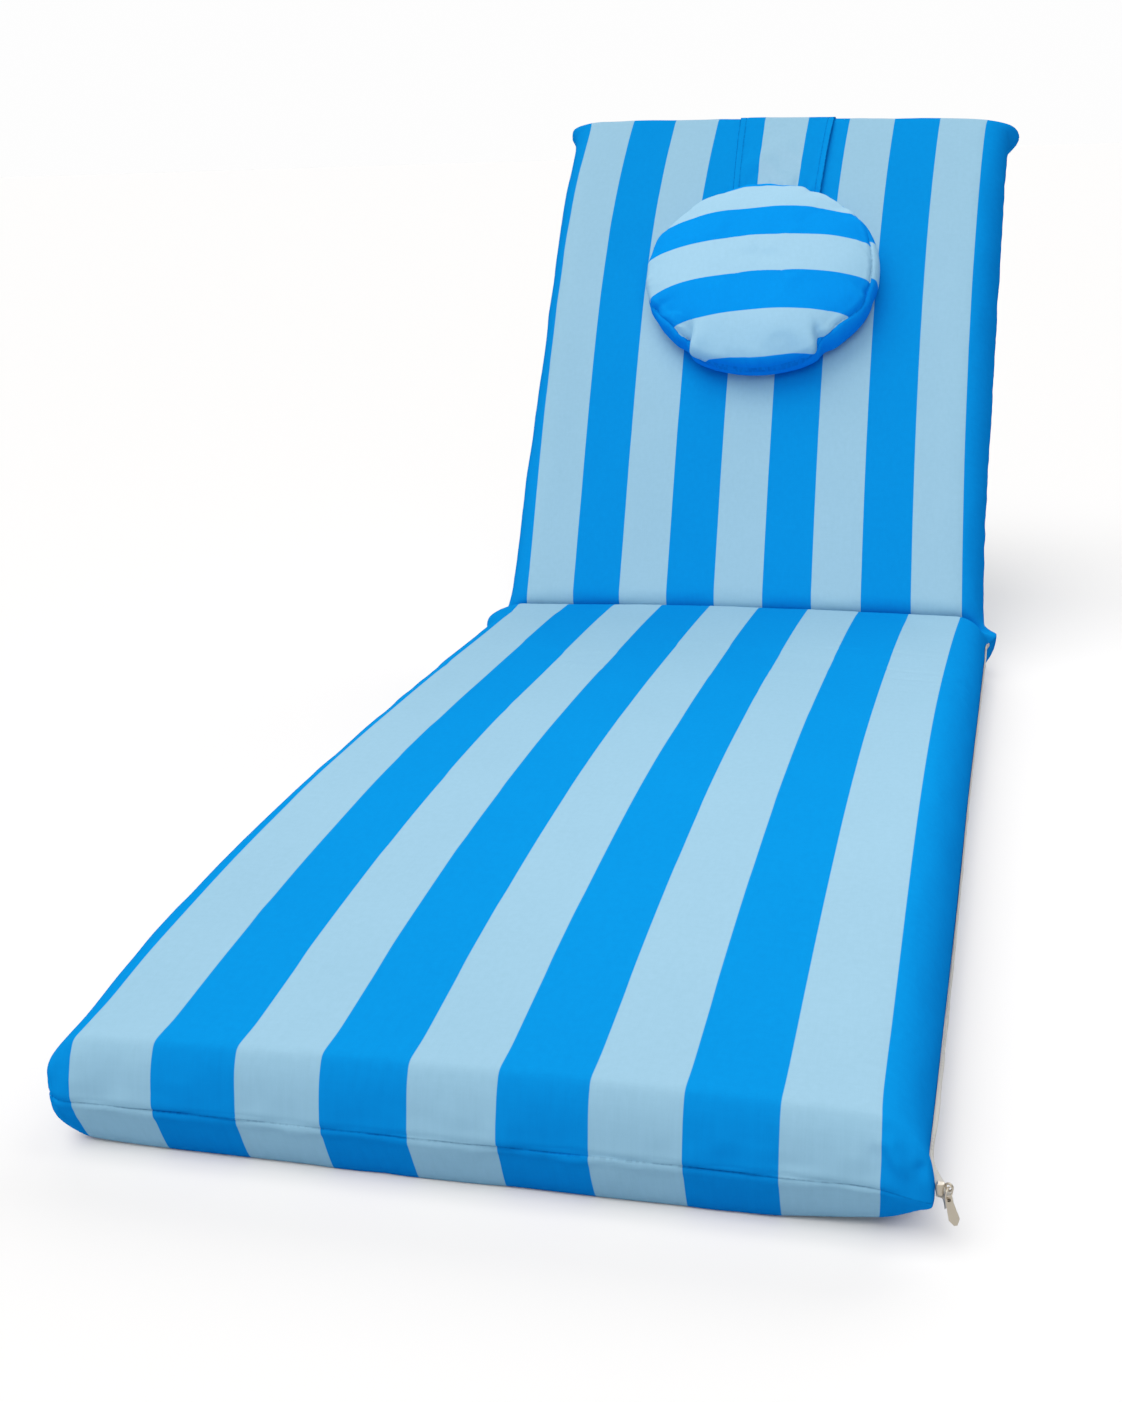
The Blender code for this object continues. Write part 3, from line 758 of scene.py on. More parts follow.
@dataclass(frozen=True)
class FillingPressure:
    """Cloth simulation of a filled cover: the filling presses the sewn cloth out, and the seams hold it."""

    frames: int = 20
    pressure: float = 4.0
    cap: float = 0.0005
    seam_shrink: float = 0.08

    def settle(self, piece: bpy.types.Object, seam: np.ndarray, free: np.ndarray, broad: Broad) -> None:
        """Simulate, and keep the small crinkles that the filling and the short seams give.

        Args:
            piece: the sewn cover.
            seam: share from 0 to 1 by which each vertex lies on a seam.
            free: share from 0 to 1 by which each vertex may move.
            broad: returns the broad part of a set of moves, which is taken away.
        """
        start, out = Workshop.coordinates(piece), Workshop.coordinates(piece, normals=True)
        group = piece.vertex_groups.new(name="seam")
        for index in np.flatnonzero(seam > 0.01).tolist():
            group.add([index], float(seam[index]), "REPLACE")
        cloth = piece.modifiers.new("filling", "CLOTH")
        settings = cloth.settings
        settings.quality = 5
        settings.mass = 0.25
        settings.tension_stiffness = 12.0
        settings.compression_stiffness = 12.0
        settings.bending_stiffness = 0.3
        settings.use_pressure = True
        settings.uniform_pressure_force = self.pressure
        settings.vertex_group_shrink = group.name
        settings.shrink_max = self.seam_shrink
        settings.effector_weights.gravity = 0.0
        cloth.point_cache.frame_start = 1
        cloth.point_cache.frame_end = self.frames
        scene = bpy.context.scene
        for moment in range(1, self.frames + 1):
            scene.frame_set(moment)
        Workshop.apply_modifiers(piece)
        scene.frame_set(1)
        lifted = np.sum((Workshop.coordinates(piece) - start) * out, axis=1, keepdims=True)
        lifted -= broad(lifted)
        lifted = self.cap * np.tanh(lifted / self.cap) * free[:, None]
        Workshop.move_to(piece, start + out * lifted)
        piece.vertex_groups.clear()


@dataclass
class MattressCover:
    """The long filled cover: top panel, under panel and the seam all round."""

    form: CushionForm
    finish: StripedCloth
    columns: int = 77
    edge_columns: int = 12
    edge_rows: int = 14
    seat_rows: int = 52
    fold_rows: int = 56
    back_rows: int = 44
    fold_zone: tuple[float, float] = (0.84, 1.24)
    groove_depth: float = 0.0007
    groove_reach: float = 0.0017
    ridge: float = 0.0004
    pucker_depth: float = 0.0009
    # Creases beside the fold: first x, last x, first run, last run, depth
    creases: Rows = (
        (0.205, 0.282, 0.968, 0.951, 0.0011),
        (0.120, 0.190, 0.966, 0.964, 0.0005),
        (0.190, 0.290, 0.901, 0.884, 0.0010),
        (0.215, 0.285, 0.866, 0.862, 0.0009),
        (0.225, 0.292, 0.834, 0.826, 0.0008),
        (0.225, 0.262, 0.803, 0.799, 0.0008),
        (0.160, 0.206, 0.570, 0.573, 0.0007),
        (0.205, 0.262, 0.627, 0.602, 0.0006),
        (0.262, 0.298, 0.846, 0.838, 0.0009),
        (0.268, 0.299, 0.812, 0.800, 0.0008),
    )
    crease_reach: float = 0.0045
    strap_x: float = 0.013
    # Folds on the foot end's upright face: x and height of both ends, height of the fold, reach
    foot_folds: Rows = (
        (0.2720, 0.070, 0.2870, 0.0370, 0.0040, 0.0045),
        (0.2660, 0.064, 0.2800, 0.0400, -0.0020, 0.0050),
        (0.2900, 0.058, 0.2925, 0.0350, -0.0028, 0.0038),
        (0.2500, 0.060, 0.2560, 0.0460, 0.0008, 0.0045),
        (-0.2640, 0.074, -0.2580, 0.0540, 0.0008, 0.0050),
        (-0.2440, 0.070, -0.2400, 0.0520, -0.0007, 0.0050),
        (-0.2250, 0.072, -0.2220, 0.0560, 0.0006, 0.0050),
        (-0.2850, 0.074, -0.2830, 0.0560, -0.0010, 0.0050),
    )

    def edge_steps(self, count: int, rounding: tuple[float, float], past: float) -> np.ndarray:
        """Distances from a seam of the grid lines of a rounded edge, evenly spaced over the curved cloth.

        Args:
            count: number of steps.
            rounding: reach and power of the edge's curve.
            past: how far the steps go on past the reach.

        Returns:
            The distances, from 0 at the seam.
        """
        reach, power = rounding
        fine = np.concatenate([[0.0], np.geomspace(1e-7, reach + past, 3000)])
        height = 0.5 * self.form.thickness * self.form.round_off(fine, reach, power)
        length = np.concatenate([[0.0], np.cumsum(np.hypot(np.diff(fine), np.diff(height)))])
        even = np.linspace(0.0, 1.0, count + 1) ** 1.25 * length[-1]
        return np.interp(even, length, fine)

    def across_lines(self) -> np.ndarray:
        """Grid lines across the cushion, from -1 to 1."""
        steps = self.edge_steps(self.edge_columns, self.form.edge_round, 0.0) / self.form.half_width
        inside = np.linspace(-1.0 + steps[-1], 1.0 - steps[-1], self.columns - 2 * self.edge_columns)
        return np.concatenate([-1.0 + steps[:-1], inside, (1.0 - steps[:-1])[::-1]])

    def run_lines(self) -> np.ndarray:
        """Sections along the cushion, from the foot seam to the head seam."""
        steps = self.edge_steps(self.edge_rows, self.form.end_round, 0.012)
        zone_start, zone_stop = self.fold_zone
        seat = np.linspace(steps[-1], zone_start, self.seat_rows, endpoint=False)
        fold = np.linspace(zone_start, zone_stop, self.fold_rows, endpoint=False)
        back = np.linspace(zone_stop, self.form.total_run - steps[-1], self.back_rows)
        return np.concatenate([steps[:-1], seat, fold, back, (self.form.total_run - steps[:-1])[::-1]])

    def sew(self) -> bmesh.types.BMesh:
        """Lay out both panels and join them along the seam.

        Returns:
            A closed bmesh that keeps each point's place across and along the cloth.
        """
        across_lines, run_lines = self.across_lines(), self.run_lines()
        builder = Workshop.start("across", "run", "top")
        for panel in Panel:
            verts, column, row = Workshop.grid(builder, len(across_lines), len(run_lines))
            across, run = across_lines[column], run_lines[row]
            side = np.full(len(verts), panel.value)
            Workshop.place(verts, self.form.points(across, run, side))
            on_seam = (np.abs(across) > 0.99999) | (row == 0) | (row == len(run_lines) - 1)
            Workshop.keep(builder, "across", verts, across)
            Workshop.keep(builder, "run", verts, run)
            Workshop.keep(builder, "top", verts, np.where(on_seam, 0.5, side))
            if panel is Panel.UNDER:
                faces = {face for vert in verts for face in vert.link_faces}
                bmesh.ops.reverse_faces(builder, faces=list(faces))
        bmesh.ops.remove_doubles(builder, verts=builder.verts, dist=0.00001)
        return builder

    def from_seam(self, across: np.ndarray, run: np.ndarray, top: np.ndarray) -> tuple[np.ndarray, np.ndarray]:
        """How far each point lies from the seam, and where along it.

        Args:
            across: places across, from -1 to 1.
            run: places along.
            top: which panel.

        Returns:
            Distance from the nearest seam over the cloth, and a place along that seam.
        """
        form = self.form
        end = np.minimum(run, form.total_run - run)
        edge = (1.0 - np.abs(across)) * form.half_width
        on_top = top > 0.5
        rise = 0.5 * form.thickness
        end_rise, edge_rise = form.roundings(across, run, on_top)
        over_end, over_edge = np.hypot(end, rise * end_rise), np.hypot(edge, rise * edge_rise)
        return np.minimum(over_end, over_edge), np.where(over_end < over_edge, across * form.half_width, run)

    def broad_moves(self, across: np.ndarray, run: np.ndarray, top: np.ndarray) -> Broad:
        """Return a function that fits low waves across and along each panel to a set of moves."""
        u = across
        v = run / self.form.total_run * 2.0 - 1.0
        terms = [np.cos(a * np.arccos(np.clip(u, -1, 1))) * np.cos(b * np.arccos(np.clip(v, -1, 1)))
                 for a in range(7) for b in range(14)]
        base = np.stack(terms, axis=1)

        def broad(moved: np.ndarray) -> np.ndarray:
            """The broad part of the moves."""
            out = np.zeros_like(moved)
            for chosen in (top > 0.4, top <= 0.4):
                weights = np.linalg.lstsq(base[chosen], moved[chosen], rcond=None)[0]
                out[chosen] = base[chosen] @ weights
            return out

        return broad

    def covered(self, across: np.ndarray, run: np.ndarray, top: np.ndarray) -> np.ndarray:
        """Share from 0 to 1 by which the strap, the pillow and the zip hold each point in place."""
        x = across * self.form.half_width
        beside = smooth_step(np.abs(x - self.strap_x), 0.085, 0.070)
        under = beside * smooth_step(run, self.form.back_start + 0.40, self.form.back_start + 0.44) * (top > 0.4)
        behind = beside * smooth_step(run, self.form.total_run - 0.19, self.form.total_run - 0.17) * (top <= 0.5)
        away = np.hypot((x - self.strap_x) / 0.16, (run - self.form.back_start - 0.4325) / 0.145)
        pillow = smooth_step(away, 1.15, 0.95) * (top > 0.4)
        from_edge = (1.0 - across) * self.form.half_width
        zipped = smooth_step(from_edge, 0.030, 0.012) * smooth_step(run, self.form.seat_run + 0.02, self.form.seat_run)
        zipped *= smooth_step(self.from_seam(across, run, top)[0], 0.022, 0.009)
        return np.maximum.reduce([under, behind, pillow, zipped])

    def work_details(self, piece: bpy.types.Object) -> None:
        """Move the cloth for the seam, its puckers, the creases and the soft dents."""
        form = self.form
        across, run, top = (Workshop.kept(piece, name) for name in ("across", "run", "top"))
        points, out = Workshop.coordinates(piece), Workshop.coordinates(piece, normals=True)
        gap, along = self.from_seam(across, run, top)
        x = across * form.half_width
        lift = -self.groove_depth * bell(gap, self.groove_reach)
        lift += self.ridge * bell(gap - 0.0048, 0.0028)
        pucker = ripple(np.stack([along * 48.0, top * 3.0], axis=-1), 3.0)
        lift += self.pucker_depth * pucker * bell(gap - 0.006, 0.008)
        long_pucker = ripple(np.stack([along * 17.0, top * 3.0 + gap * 8.0], axis=-1), 9.0)
        lift += 0.0010 * long_pucker * bell(gap - 0.010, 0.022)
        dent = ripple(np.stack([x * 9.0, run * 7.0], axis=-1), 21.0)
        lift += 0.0005 * dent
        for first_x, last_x, first_run, last_run, depth in self.creases:
            share = np.clip((x - first_x) / (last_x - first_x), 0.0, 1.0)
            line = first_run + (last_run - first_run) * share + 0.006 * share * (1.0 - share)
            fade = smooth_step(x, first_x - 0.015, first_x + 0.010)
            fade = fade * (1.0 - smooth_step(x, last_x - 0.008, last_x + 0.012))
            rise = bell(run - line - 0.006, 0.005) * 0.6 - bell(run - line, self.crease_reach)
            lift += rise * depth * fade * (top > 0.4)
        for first_x, first_z, last_x, last_z, rise, reach in self.foot_folds:
            way = np.array([last_x - first_x, last_z - first_z])
            from_first = points[:, (0, 2)] - (first_x, first_z)
            share = np.clip(from_first @ way / (way @ way), 0.0, 1.0)
            away = np.linalg.norm(from_first - share[:, None] * way, axis=1)
            lift += rise * bell(away, reach) * smooth_step(run, 0.030, 0.012) * (top > 0.4)
        lift *= 1.0 - self.covered(across, run, top)
        points += out * lift[:, None]
        points[:, 2] = np.maximum(points[:, 2], 0.0)
        Workshop.move_to(piece, points)

    def build(self, groups: FinishGroups) -> bpy.types.Object:
        """Make the cover.

        Args:
            groups: the shared node groups.

        Returns:
            The finished piece.
        """
        piece = Workshop.new_piece("mattress_cover", self.sew(), self.finish.material(groups))
        across, run, top = (Workshop.kept(piece, name) for name in ("across", "run", "top"))
        gap, _ = self.from_seam(across, run, top)
        free = 1.0 - self.covered(across, run, top)
        FillingPressure().settle(piece, bell(gap, 0.006), free, self.broad_moves(across, run, top))
        Workshop.subdivide(piece)
        self.work_details(piece)
        across, run, top = (Workshop.kept(piece, name) for name in ("across", "run", "top"))
        # Distances from the seam, from which the cloth's material paints shade along the seam groove.
        Workshop.keep_on_mesh(piece, "seam", self.from_seam(across, run, top)[0])
        Workshop.map_cloth(piece, across * self.form.width_at(run, across >= 0.0), run)
        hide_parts("cushion_body")
        return piece


@dataclass
class HeadPillow:
    """Nearly round pillow of two sewn panels, filled and pinched along its seam."""

    form: CushionForm
    finish: StripedCloth
    x: float = 0.0095
    up: float = 0.4325
    half_width: float = 0.1505
    half_height: float = 0.1325
    turned: float = math.radians(4.0)
    clearance: float = 0.0012
    rim_height: float = 0.027
    dome: float = 0.0505
    side_points: int = 71
    # Share of the radius, height above the raised section
    rear: Rows = (
        (0.00, 0.0), (0.60, 0.0), (0.80, 0.0010), (0.90, 0.0040), (0.96, 0.0095), (0.99, 0.0175), (1.00, 0.027),
    )
    # Where the seam has crept over to the front: angle in degrees, share of the radius, spread in degrees
    creeps: Rows = ((5.0, 0.060, 36.0), (-145.0, 0.050, 14.0), (-46.0, 0.050, 13.0))
    # Place on the pillow, place on the flat cloth
    cloth_places: Rows = (
        (-0.140, -0.138), (-0.1245, -0.120), (-0.0735, -0.060), (-0.0235, 0.0), (0.0285, 0.060), (0.073, 0.120),
        (0.133, 0.200),
    )
    rear_places: Rows = ((-0.140, -0.059), (-0.0235, 0.0), (0.0285, 0.060), (0.140, 0.119))
    # Bow of the stripes at the lower edge and over the rest of the front
    stripe_bows: tuple[float, float] = (-2.2, 0.36)
    # Pinches of the seam: angle in degrees, side that is tucked back, depth, reach over the panel
    pinches: Rows = (
        (-129.0, -1.0, 0.0066, 0.090), (-60.0, 1.0, 0.0062, 0.090), (108.0, 1.0, 0.0015, 0.14),
        (66.0, -1.0, 0.0016, 0.14), (-160.0, 1.0, 0.0016, 0.16), (-22.0, 1.0, 0.0018, 0.16),
        (150.0, -1.0, 0.0012, 0.12), (30.0, 1.0, 0.0014, 0.12),
    )

    @staticmethod
    def to_disc(flat: np.ndarray) -> tuple[np.ndarray, np.ndarray]:
        """Map a square of -1 to 1 on a disc.

        Args:
            flat: points (N, 2) of the square.

        Returns:
            Share of the radius and angle of each point.
        """
        a, b = flat[:, 0], flat[:, 1]
        share = np.maximum(np.abs(a), np.abs(b))
        x = a * np.sqrt(np.maximum(1.0 - 0.5 * b ** 2, 0.0))
        y = b * np.sqrt(np.maximum(1.0 - 0.5 * a ** 2, 0.0))
        return share, np.arctan2(y, x)

    def on_face(self, across: np.ndarray, along: np.ndarray) -> tuple[np.ndarray, np.ndarray]:
        """Sideways place and distance up the raised section of a place on the turned pillow."""
        cosine, sine = math.cos(self.turned), math.sin(self.turned)
        return self.x + across * cosine - along * sine, self.up + across * sine + along * cosine

    def edge_above(self, x: float, share: float) -> float:
        """Distance up the raised section of the pillow's upper edge, at a sideways place."""
        offset = x - self.x
        reach = share * self.half_height * math.sqrt(1.0 - (offset / (share * self.half_width)) ** 2)
        return self.up + offset * math.sin(self.turned) + reach

    def shares(self, piece: bpy.types.Object) -> tuple[np.ndarray, np.ndarray, np.ndarray]:
        """Share of the radius, angle and panel of a pillow's points."""
        across, along, top = (Workshop.kept(piece, name) for name in ("across", "along", "top"))
        across, along = across / self.half_width, along / self.half_height
        return np.hypot(across, along), np.arctan2(along, across), top

    def sew(self) -> bmesh.types.BMesh:
        """Lay out the front and rear panels and join them at the rim."""
        builder = Workshop.start("across", "along", "seam", "top")
        for panel in Panel:
            verts, column, row = Workshop.grid(builder, self.side_points, self.side_points)
            flat = np.stack([column, row], axis=-1) / (self.side_points - 1) * 2.0 - 1.0
            square, angle = self.to_disc(flat)
            spread = 1.0 - (1.0 - square) ** 1.7
            creep = sum(share * bell(np.angle(np.exp(1j * (angle - math.radians(place)))), math.radians(wide))
                        for place, share, wide in self.creeps)
            front = panel is Panel.TOP
            way = 2.0 - spread * (1.0 - creep) if front else spread * (1.0 + creep)
            share = np.minimum(1.0 - np.abs(1.0 - way), 1.0)
            over_front = self.rim_height + self.dome * (1.0 - share ** 2.6) ** 0.43
            height = np.where(way > 1.0, over_front, read_table(self.rear, share, 1))
            on_rim = square > 0.99999
            across = self.half_width * share * np.cos(angle)
            along = self.half_height * share * np.sin(angle)
            x, up = self.on_face(across, along)
            Workshop.place(verts, self.form.face_points(x, up, height + self.clearance))
            Workshop.keep(builder, "across", verts, across)
            Workshop.keep(builder, "along", verts, along)
            # Distance from the rim seam; the pillow cloth's material paints shade along the rim from it.
            Workshop.keep(builder, "seam", verts, (1.0 - spread) * self.half_height)
            Workshop.keep(builder, "top", verts, np.where(on_rim, 0.5, panel.value))
            if not front:
                faces = {face for vert in verts for face in vert.link_faces}
                bmesh.ops.reverse_faces(builder, faces=list(faces))
        bmesh.ops.remove_doubles(builder, verts=builder.verts, dist=0.00001)
        return builder

    def broad_moves(self, piece: bpy.types.Object) -> Broad:
        """Return a function that fits low waves over the front panel to a set of moves."""
        share, angle, top = self.shares(piece)
        terms = [share ** a * turn(b * angle) for a in range(1, 6) for b in range(5) for turn in (np.cos, np.sin)]
        base = np.stack([np.ones_like(share)] + [term for term in terms if np.abs(term).max() > 0.0], axis=1)
        front = top > 0.4

        def broad(moved: np.ndarray) -> np.ndarray:
            """The broad part of the moves, and all of the rear panel's."""
            out = moved.copy()
            weights = np.linalg.lstsq(base[front], moved[front], rcond=None)[0]
            out[front] = base[front] @ weights
            return out

        return broad

    def work_details(self, piece: bpy.types.Object) -> None:
        """Draw in the rim seam, fold the cloth at its pinches and ripple the panels beside it."""
        share, angle, top = self.shares(piece)
        points, out = Workshop.coordinates(piece), Workshop.coordinates(piece, normals=True)
        over = Workshop.kept(piece, "seam") / self.half_height
        front = top > 0.4
        turned = angle + self.turned
        inward = np.stack([-np.cos(turned), np.zeros_like(angle), np.zeros_like(angle)], axis=-1)
        inward[:, 1] = -np.sin(turned) * math.cos(self.form.back_angle)
        inward[:, 2] = -np.sin(turned) * math.sin(self.form.back_angle)
        lift = -0.0015 * bell(over, 0.012) + 0.0008 * bell(over - 0.045, 0.022)
        small = ripple(np.stack([np.cos(angle), np.sin(angle)], axis=-1) * 6.5 + share[:, None] * 0.8, 5.0)
        lift += 0.0012 * small * bell(over - 0.06, 0.09)
        draw = np.zeros_like(lift)
        for degrees, heading, depth, reach in self.pinches:
            past = np.angle(np.exp(1j * (angle - math.radians(degrees)))) * heading - 0.25 * over
            lift -= depth * bell(past - 0.02, 0.038 + 0.12 * over) * bell(over - 0.02, reach) * front
            lift += 0.50 * depth * bell(past + 0.070, 0.060 + 0.12 * over) * bell(over - 0.03, reach * 1.15) * front
            draw += depth * (0.8 * bell(past - 0.05, 0.07) + 0.45 * bell(past - 0.22, 0.20)) * bell(over, 0.16)
            draw -= 0.12 * depth * bell(past + 0.15, 0.16) * bell(over, 0.20)
        lift[~front] = np.minimum(lift[~front], 0.0)
        Workshop.move_to(piece, points + out * lift[:, None] + inward * draw[:, None])

    def build(self, groups: FinishGroups) -> bpy.types.Object:
        """Make the pillow.

        Args:
            groups: the shared node groups.

        Returns:
            The finished piece.
        """
        piece = Workshop.new_piece("head_pillow_cover", self.sew(), self.finish.material(groups))
        seam, top = Workshop.kept(piece, "seam"), Workshop.kept(piece, "top")
        free = (top > 0.4).astype(float)
        filling = FillingPressure(cap=0.0013, seam_shrink=0.10)
        filling.settle(piece, bell(seam, 0.004), free, self.broad_moves(piece))
        Workshop.subdivide(piece)
        self.work_details(piece)
        across, along = Workshop.kept(piece, "across"), Workshop.kept(piece, "along")
        bowed = along + np.interp(along, (-0.125, -0.095), self.stripe_bows) * across ** 2
        front = np.interp(bowed, *np.array(self.cloth_places).T)
        rear = np.interp(along, *np.array(self.rear_places).T)
        Workshop.map_cloth(piece, across, front, rear)
        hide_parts("head_pillow")
        return piece


@dataclass
class PillowStrap:
    """Flat hemmed strap that holds the pillow: up the face, over the head end and down the rear."""

    form: CushionForm
    finish: StripedCloth
    pillow: HeadPillow
    x: float = 0.0130
    half_width_at_pillow: float = 0.057
    half_width_at_head: float = 0.065
    thickness: float = 0.0010
    gap: float = 0.0005
    pillow_share: float = 0.925
    down_the_back: float = 0.150
    columns: int = 65
    rows: int = 201
    hem: float = 0.135
    hem_rise: float = 0.0009
    edge_curl: float = 0.0045

    def sideways(self, share: np.ndarray, climb: np.ndarray) -> np.ndarray:
        """Sideways place at a share of the width. The strap widens towards the head end."""
        widening = self.half_width_at_head - self.half_width_at_pillow
        return self.x + share * (self.half_width_at_pillow + widening * climb)

    def lay_out(self) -> tuple[np.ndarray, np.ndarray, np.ndarray]:
        """Find where each column's points lie, evenly spaced over the cover.

        Returns:
            Distances from the foot seam (columns, rows), climbs from 0 at the pillow to 1 at the head end,
            and lengths of strap from the pillow.
        """
        end = self.form.total_run + self.down_the_back
        distances, climbs, lengths = [], [], []
        for share in np.linspace(-1.0, 1.0, self.columns):
            under = self.pillow.edge_above(self.x + share * self.half_width_at_pillow, self.pillow_share)
            start = self.form.back_start + under
            fine = np.linspace(start, end, 2400)
            climb = np.clip((fine - start) / (self.form.total_run - start), 0.0, 1.0)
            path = self.form.wrap_points(self.sideways(share, climb), fine, np.zeros_like(fine))
            length = np.concatenate([[0.0], np.cumsum(np.linalg.norm(np.diff(path, axis=0), axis=1))])
            even = np.linspace(0.0, length[-1], self.rows)
            distances.append(np.interp(even, length, fine))
            climbs.append(np.interp(even, length, climb))
            lengths.append(even)
        return np.array(distances), np.array(climbs), np.array(lengths)

    def build(self, groups: FinishGroups) -> bpy.types.Object:
        """Make the strap.

        Args:
            groups: the shared node groups.

        Returns:
            The finished piece.
        """
        builder = Workshop.start("across", "along")
        verts, column, row = Workshop.grid(builder, self.columns, self.rows)
        share = column / (self.columns - 1) * 2.0 - 1.0
        distances, climbs, lengths = self.lay_out()
        distance, climb, length = distances[column, row], climbs[column, row], lengths[column, row]
        inside = smooth_step(1.0 - np.abs(share), 0.0, 0.10)
        lift = np.full(len(verts), self.gap + 0.5 * self.thickness)
        hem = 1.0 - smooth_step(1.0 - np.abs(share), self.hem, self.hem + 0.035)
        lift += self.hem_rise * hem * (1.0 - smooth_step(climb, 0.75, 0.95))
        lift += self.edge_curl * smooth_step(share, 0.80, 1.0) * smooth_step(climb, 1.0, 0.70)
        stitch = bell(1.0 - np.abs(share) - self.hem, 0.022)
        lift -= 0.0006 * stitch * (0.6 + 0.4 * np.sin(length * 2.0 * math.pi / 0.0058))
        gathers = ripple(np.stack([share * 8.0, length * 16.0], axis=-1), 2.0)
        lift += (0.0014 + 0.0034 * gathers) * bell(length - 0.032, 0.015) * inside
        folds = ripple(np.stack([share * 1.5 + length * 24.0, length * 22.0 - share * 1.1], axis=-1), 7.0)
        folds = np.maximum(0.0024 * folds + 0.0004, 0.0)
        lift += folds * (1.0 - smooth_step(climb, 0.75, 1.0)) * (0.25 + 0.75 * inside)
        Workshop.place(verts, self.form.wrap_points(self.sideways(share, climb), distance, np.maximum(lift, 0.0009)))
        Workshop.keep(builder, "across", verts, share * self.half_width_at_head)
        Workshop.keep(builder, "along", verts, length)
        piece = Workshop.new_piece("pillow_strap_cloth", builder, self.finish.material(groups))
        Workshop.map_cloth(piece, Workshop.kept(piece, "across"), Workshop.kept(piece, "along"))
        # Distances to the hem stitch lines and to the strap's edges: the cloth's material paints shade along both, as
        # painted shade of the stitches and of the gap under the strap's edges.
        from_edge = 1.0 - np.abs(share)
        from_line = np.minimum(np.abs(from_edge - self.hem), from_edge) * self.half_width_at_head
        Workshop.keep_on_mesh(piece, "seam", from_line)
        wall = piece.modifiers.new("cloth_thickness", "SOLIDIFY")
        wall.thickness = self.thickness
        wall.offset = 0.0
        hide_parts("pillow_strap")
        return piece


@dataclass
class SideZip:
    """Zip in the right side seam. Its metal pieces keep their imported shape."""

    form: CushionForm
    tape_finish: PlainFinish
    metal_finish: PlainFinish
    start: float = 0.0066
    past_fold: float = 0.004
    # Distance from the start, reach out of the seam, drop of the outer edge
    tape: Rows = (
        (0.0, 0.0105, 0.0105), (0.010, 0.0070, 0.0060), (0.025, 0.0034, 0.0012), (0.080, 0.0030, 0.0002),
        (2.0, 0.0030, 0.0002),
    )
    gap: float = 0.0004
    lip: float = 0.0019
    rows: int = 420
    columns: int = 13
    tooth_pitch: float = 0.0021
    tooth_size: Triple = (0.0016, 0.0011, 0.0021)

    def seam(self, run: np.ndarray) -> np.ndarray:
        """Points of the right side seam."""
        return self.form.points(np.ones_like(run), run, np.ones_like(run))

    def sew_tape(self) -> bpy.types.Object:
        """Make the two lips of the tape with the valley between them."""
        builder = bmesh.new()
        verts, column, row = Workshop.grid(builder, self.columns, self.rows)
        from_start = (self.form.seat_run + self.past_fold - self.start) * (row / (self.rows - 1)) ** 1.5
        run = self.start + from_start
        across = column / (self.columns - 1) * 2.0 - 1.0
        lips = np.sin(0.5 * math.pi * np.minimum(2.2 * (1.0 - np.abs(across)), 1.0)) - 0.45 * bell(across, 0.30)
        reach = read_table(self.tape, from_start, 1) * lips
        drop = read_table(self.tape, from_start, 2) * (1.0 - np.abs(across))
        wave = 0.0004 * ripple(np.stack([run * 30.0, across], axis=-1), 4.0)
        offset = np.stack([self.gap + reach + wave * lips, np.zeros_like(run), across * self.lip - drop], axis=-1)
        Workshop.place(verts, self.seam(run) + offset)
        piece = Workshop.new_piece("zip_tape_cloth", builder, self.tape_finish.material())
        wall = piece.modifiers.new("cloth_thickness", "SOLIDIFY")
        wall.thickness = 0.0005
        wall.offset = 0.0
        return piece

    def set_teeth(self) -> bpy.types.Object:
        """Set the row of moulded teeth between the lips."""
        builder = bmesh.new()
        runs = np.arange(self.start + 0.016, self.form.seat_run, self.tooth_pitch)
        reach = read_table(self.tape, runs - self.start, 1)
        places = self.seam(runs)
        places[:, 0] += self.gap + 0.72 * reach
        places[:, 2] -= read_table(self.tape, runs - self.start, 2)
        for number, place in enumerate(places.tolist()):
            tooth = bmesh.ops.create_cube(builder, size=1.0)["verts"]
            bmesh.ops.scale(builder, verts=tooth, vec=self.tooth_size)
            side = 0.0003 if number % 2 else -0.0003
            bmesh.ops.translate(builder, verts=tooth, vec=(place[0], place[1], place[2] + side))
        return Workshop.new_piece("zip_teeth", builder, self.tape_finish.material())

    def build(self) -> list[bpy.types.Object]:
        """Make the zip and dress the metal pieces.

        Returns:
            The tape and the teeth.
        """
        pieces = [self.sew_tape(), self.set_teeth()]
        for piece in pieces:
            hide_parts("zip_tape")
        metal = self.metal_finish.material()
        for node in ("zip_slider", "zip_ring", "zip_pull"):
            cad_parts[node].data.materials.clear()
            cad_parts[node].data.materials.append(metal)
        return pieces


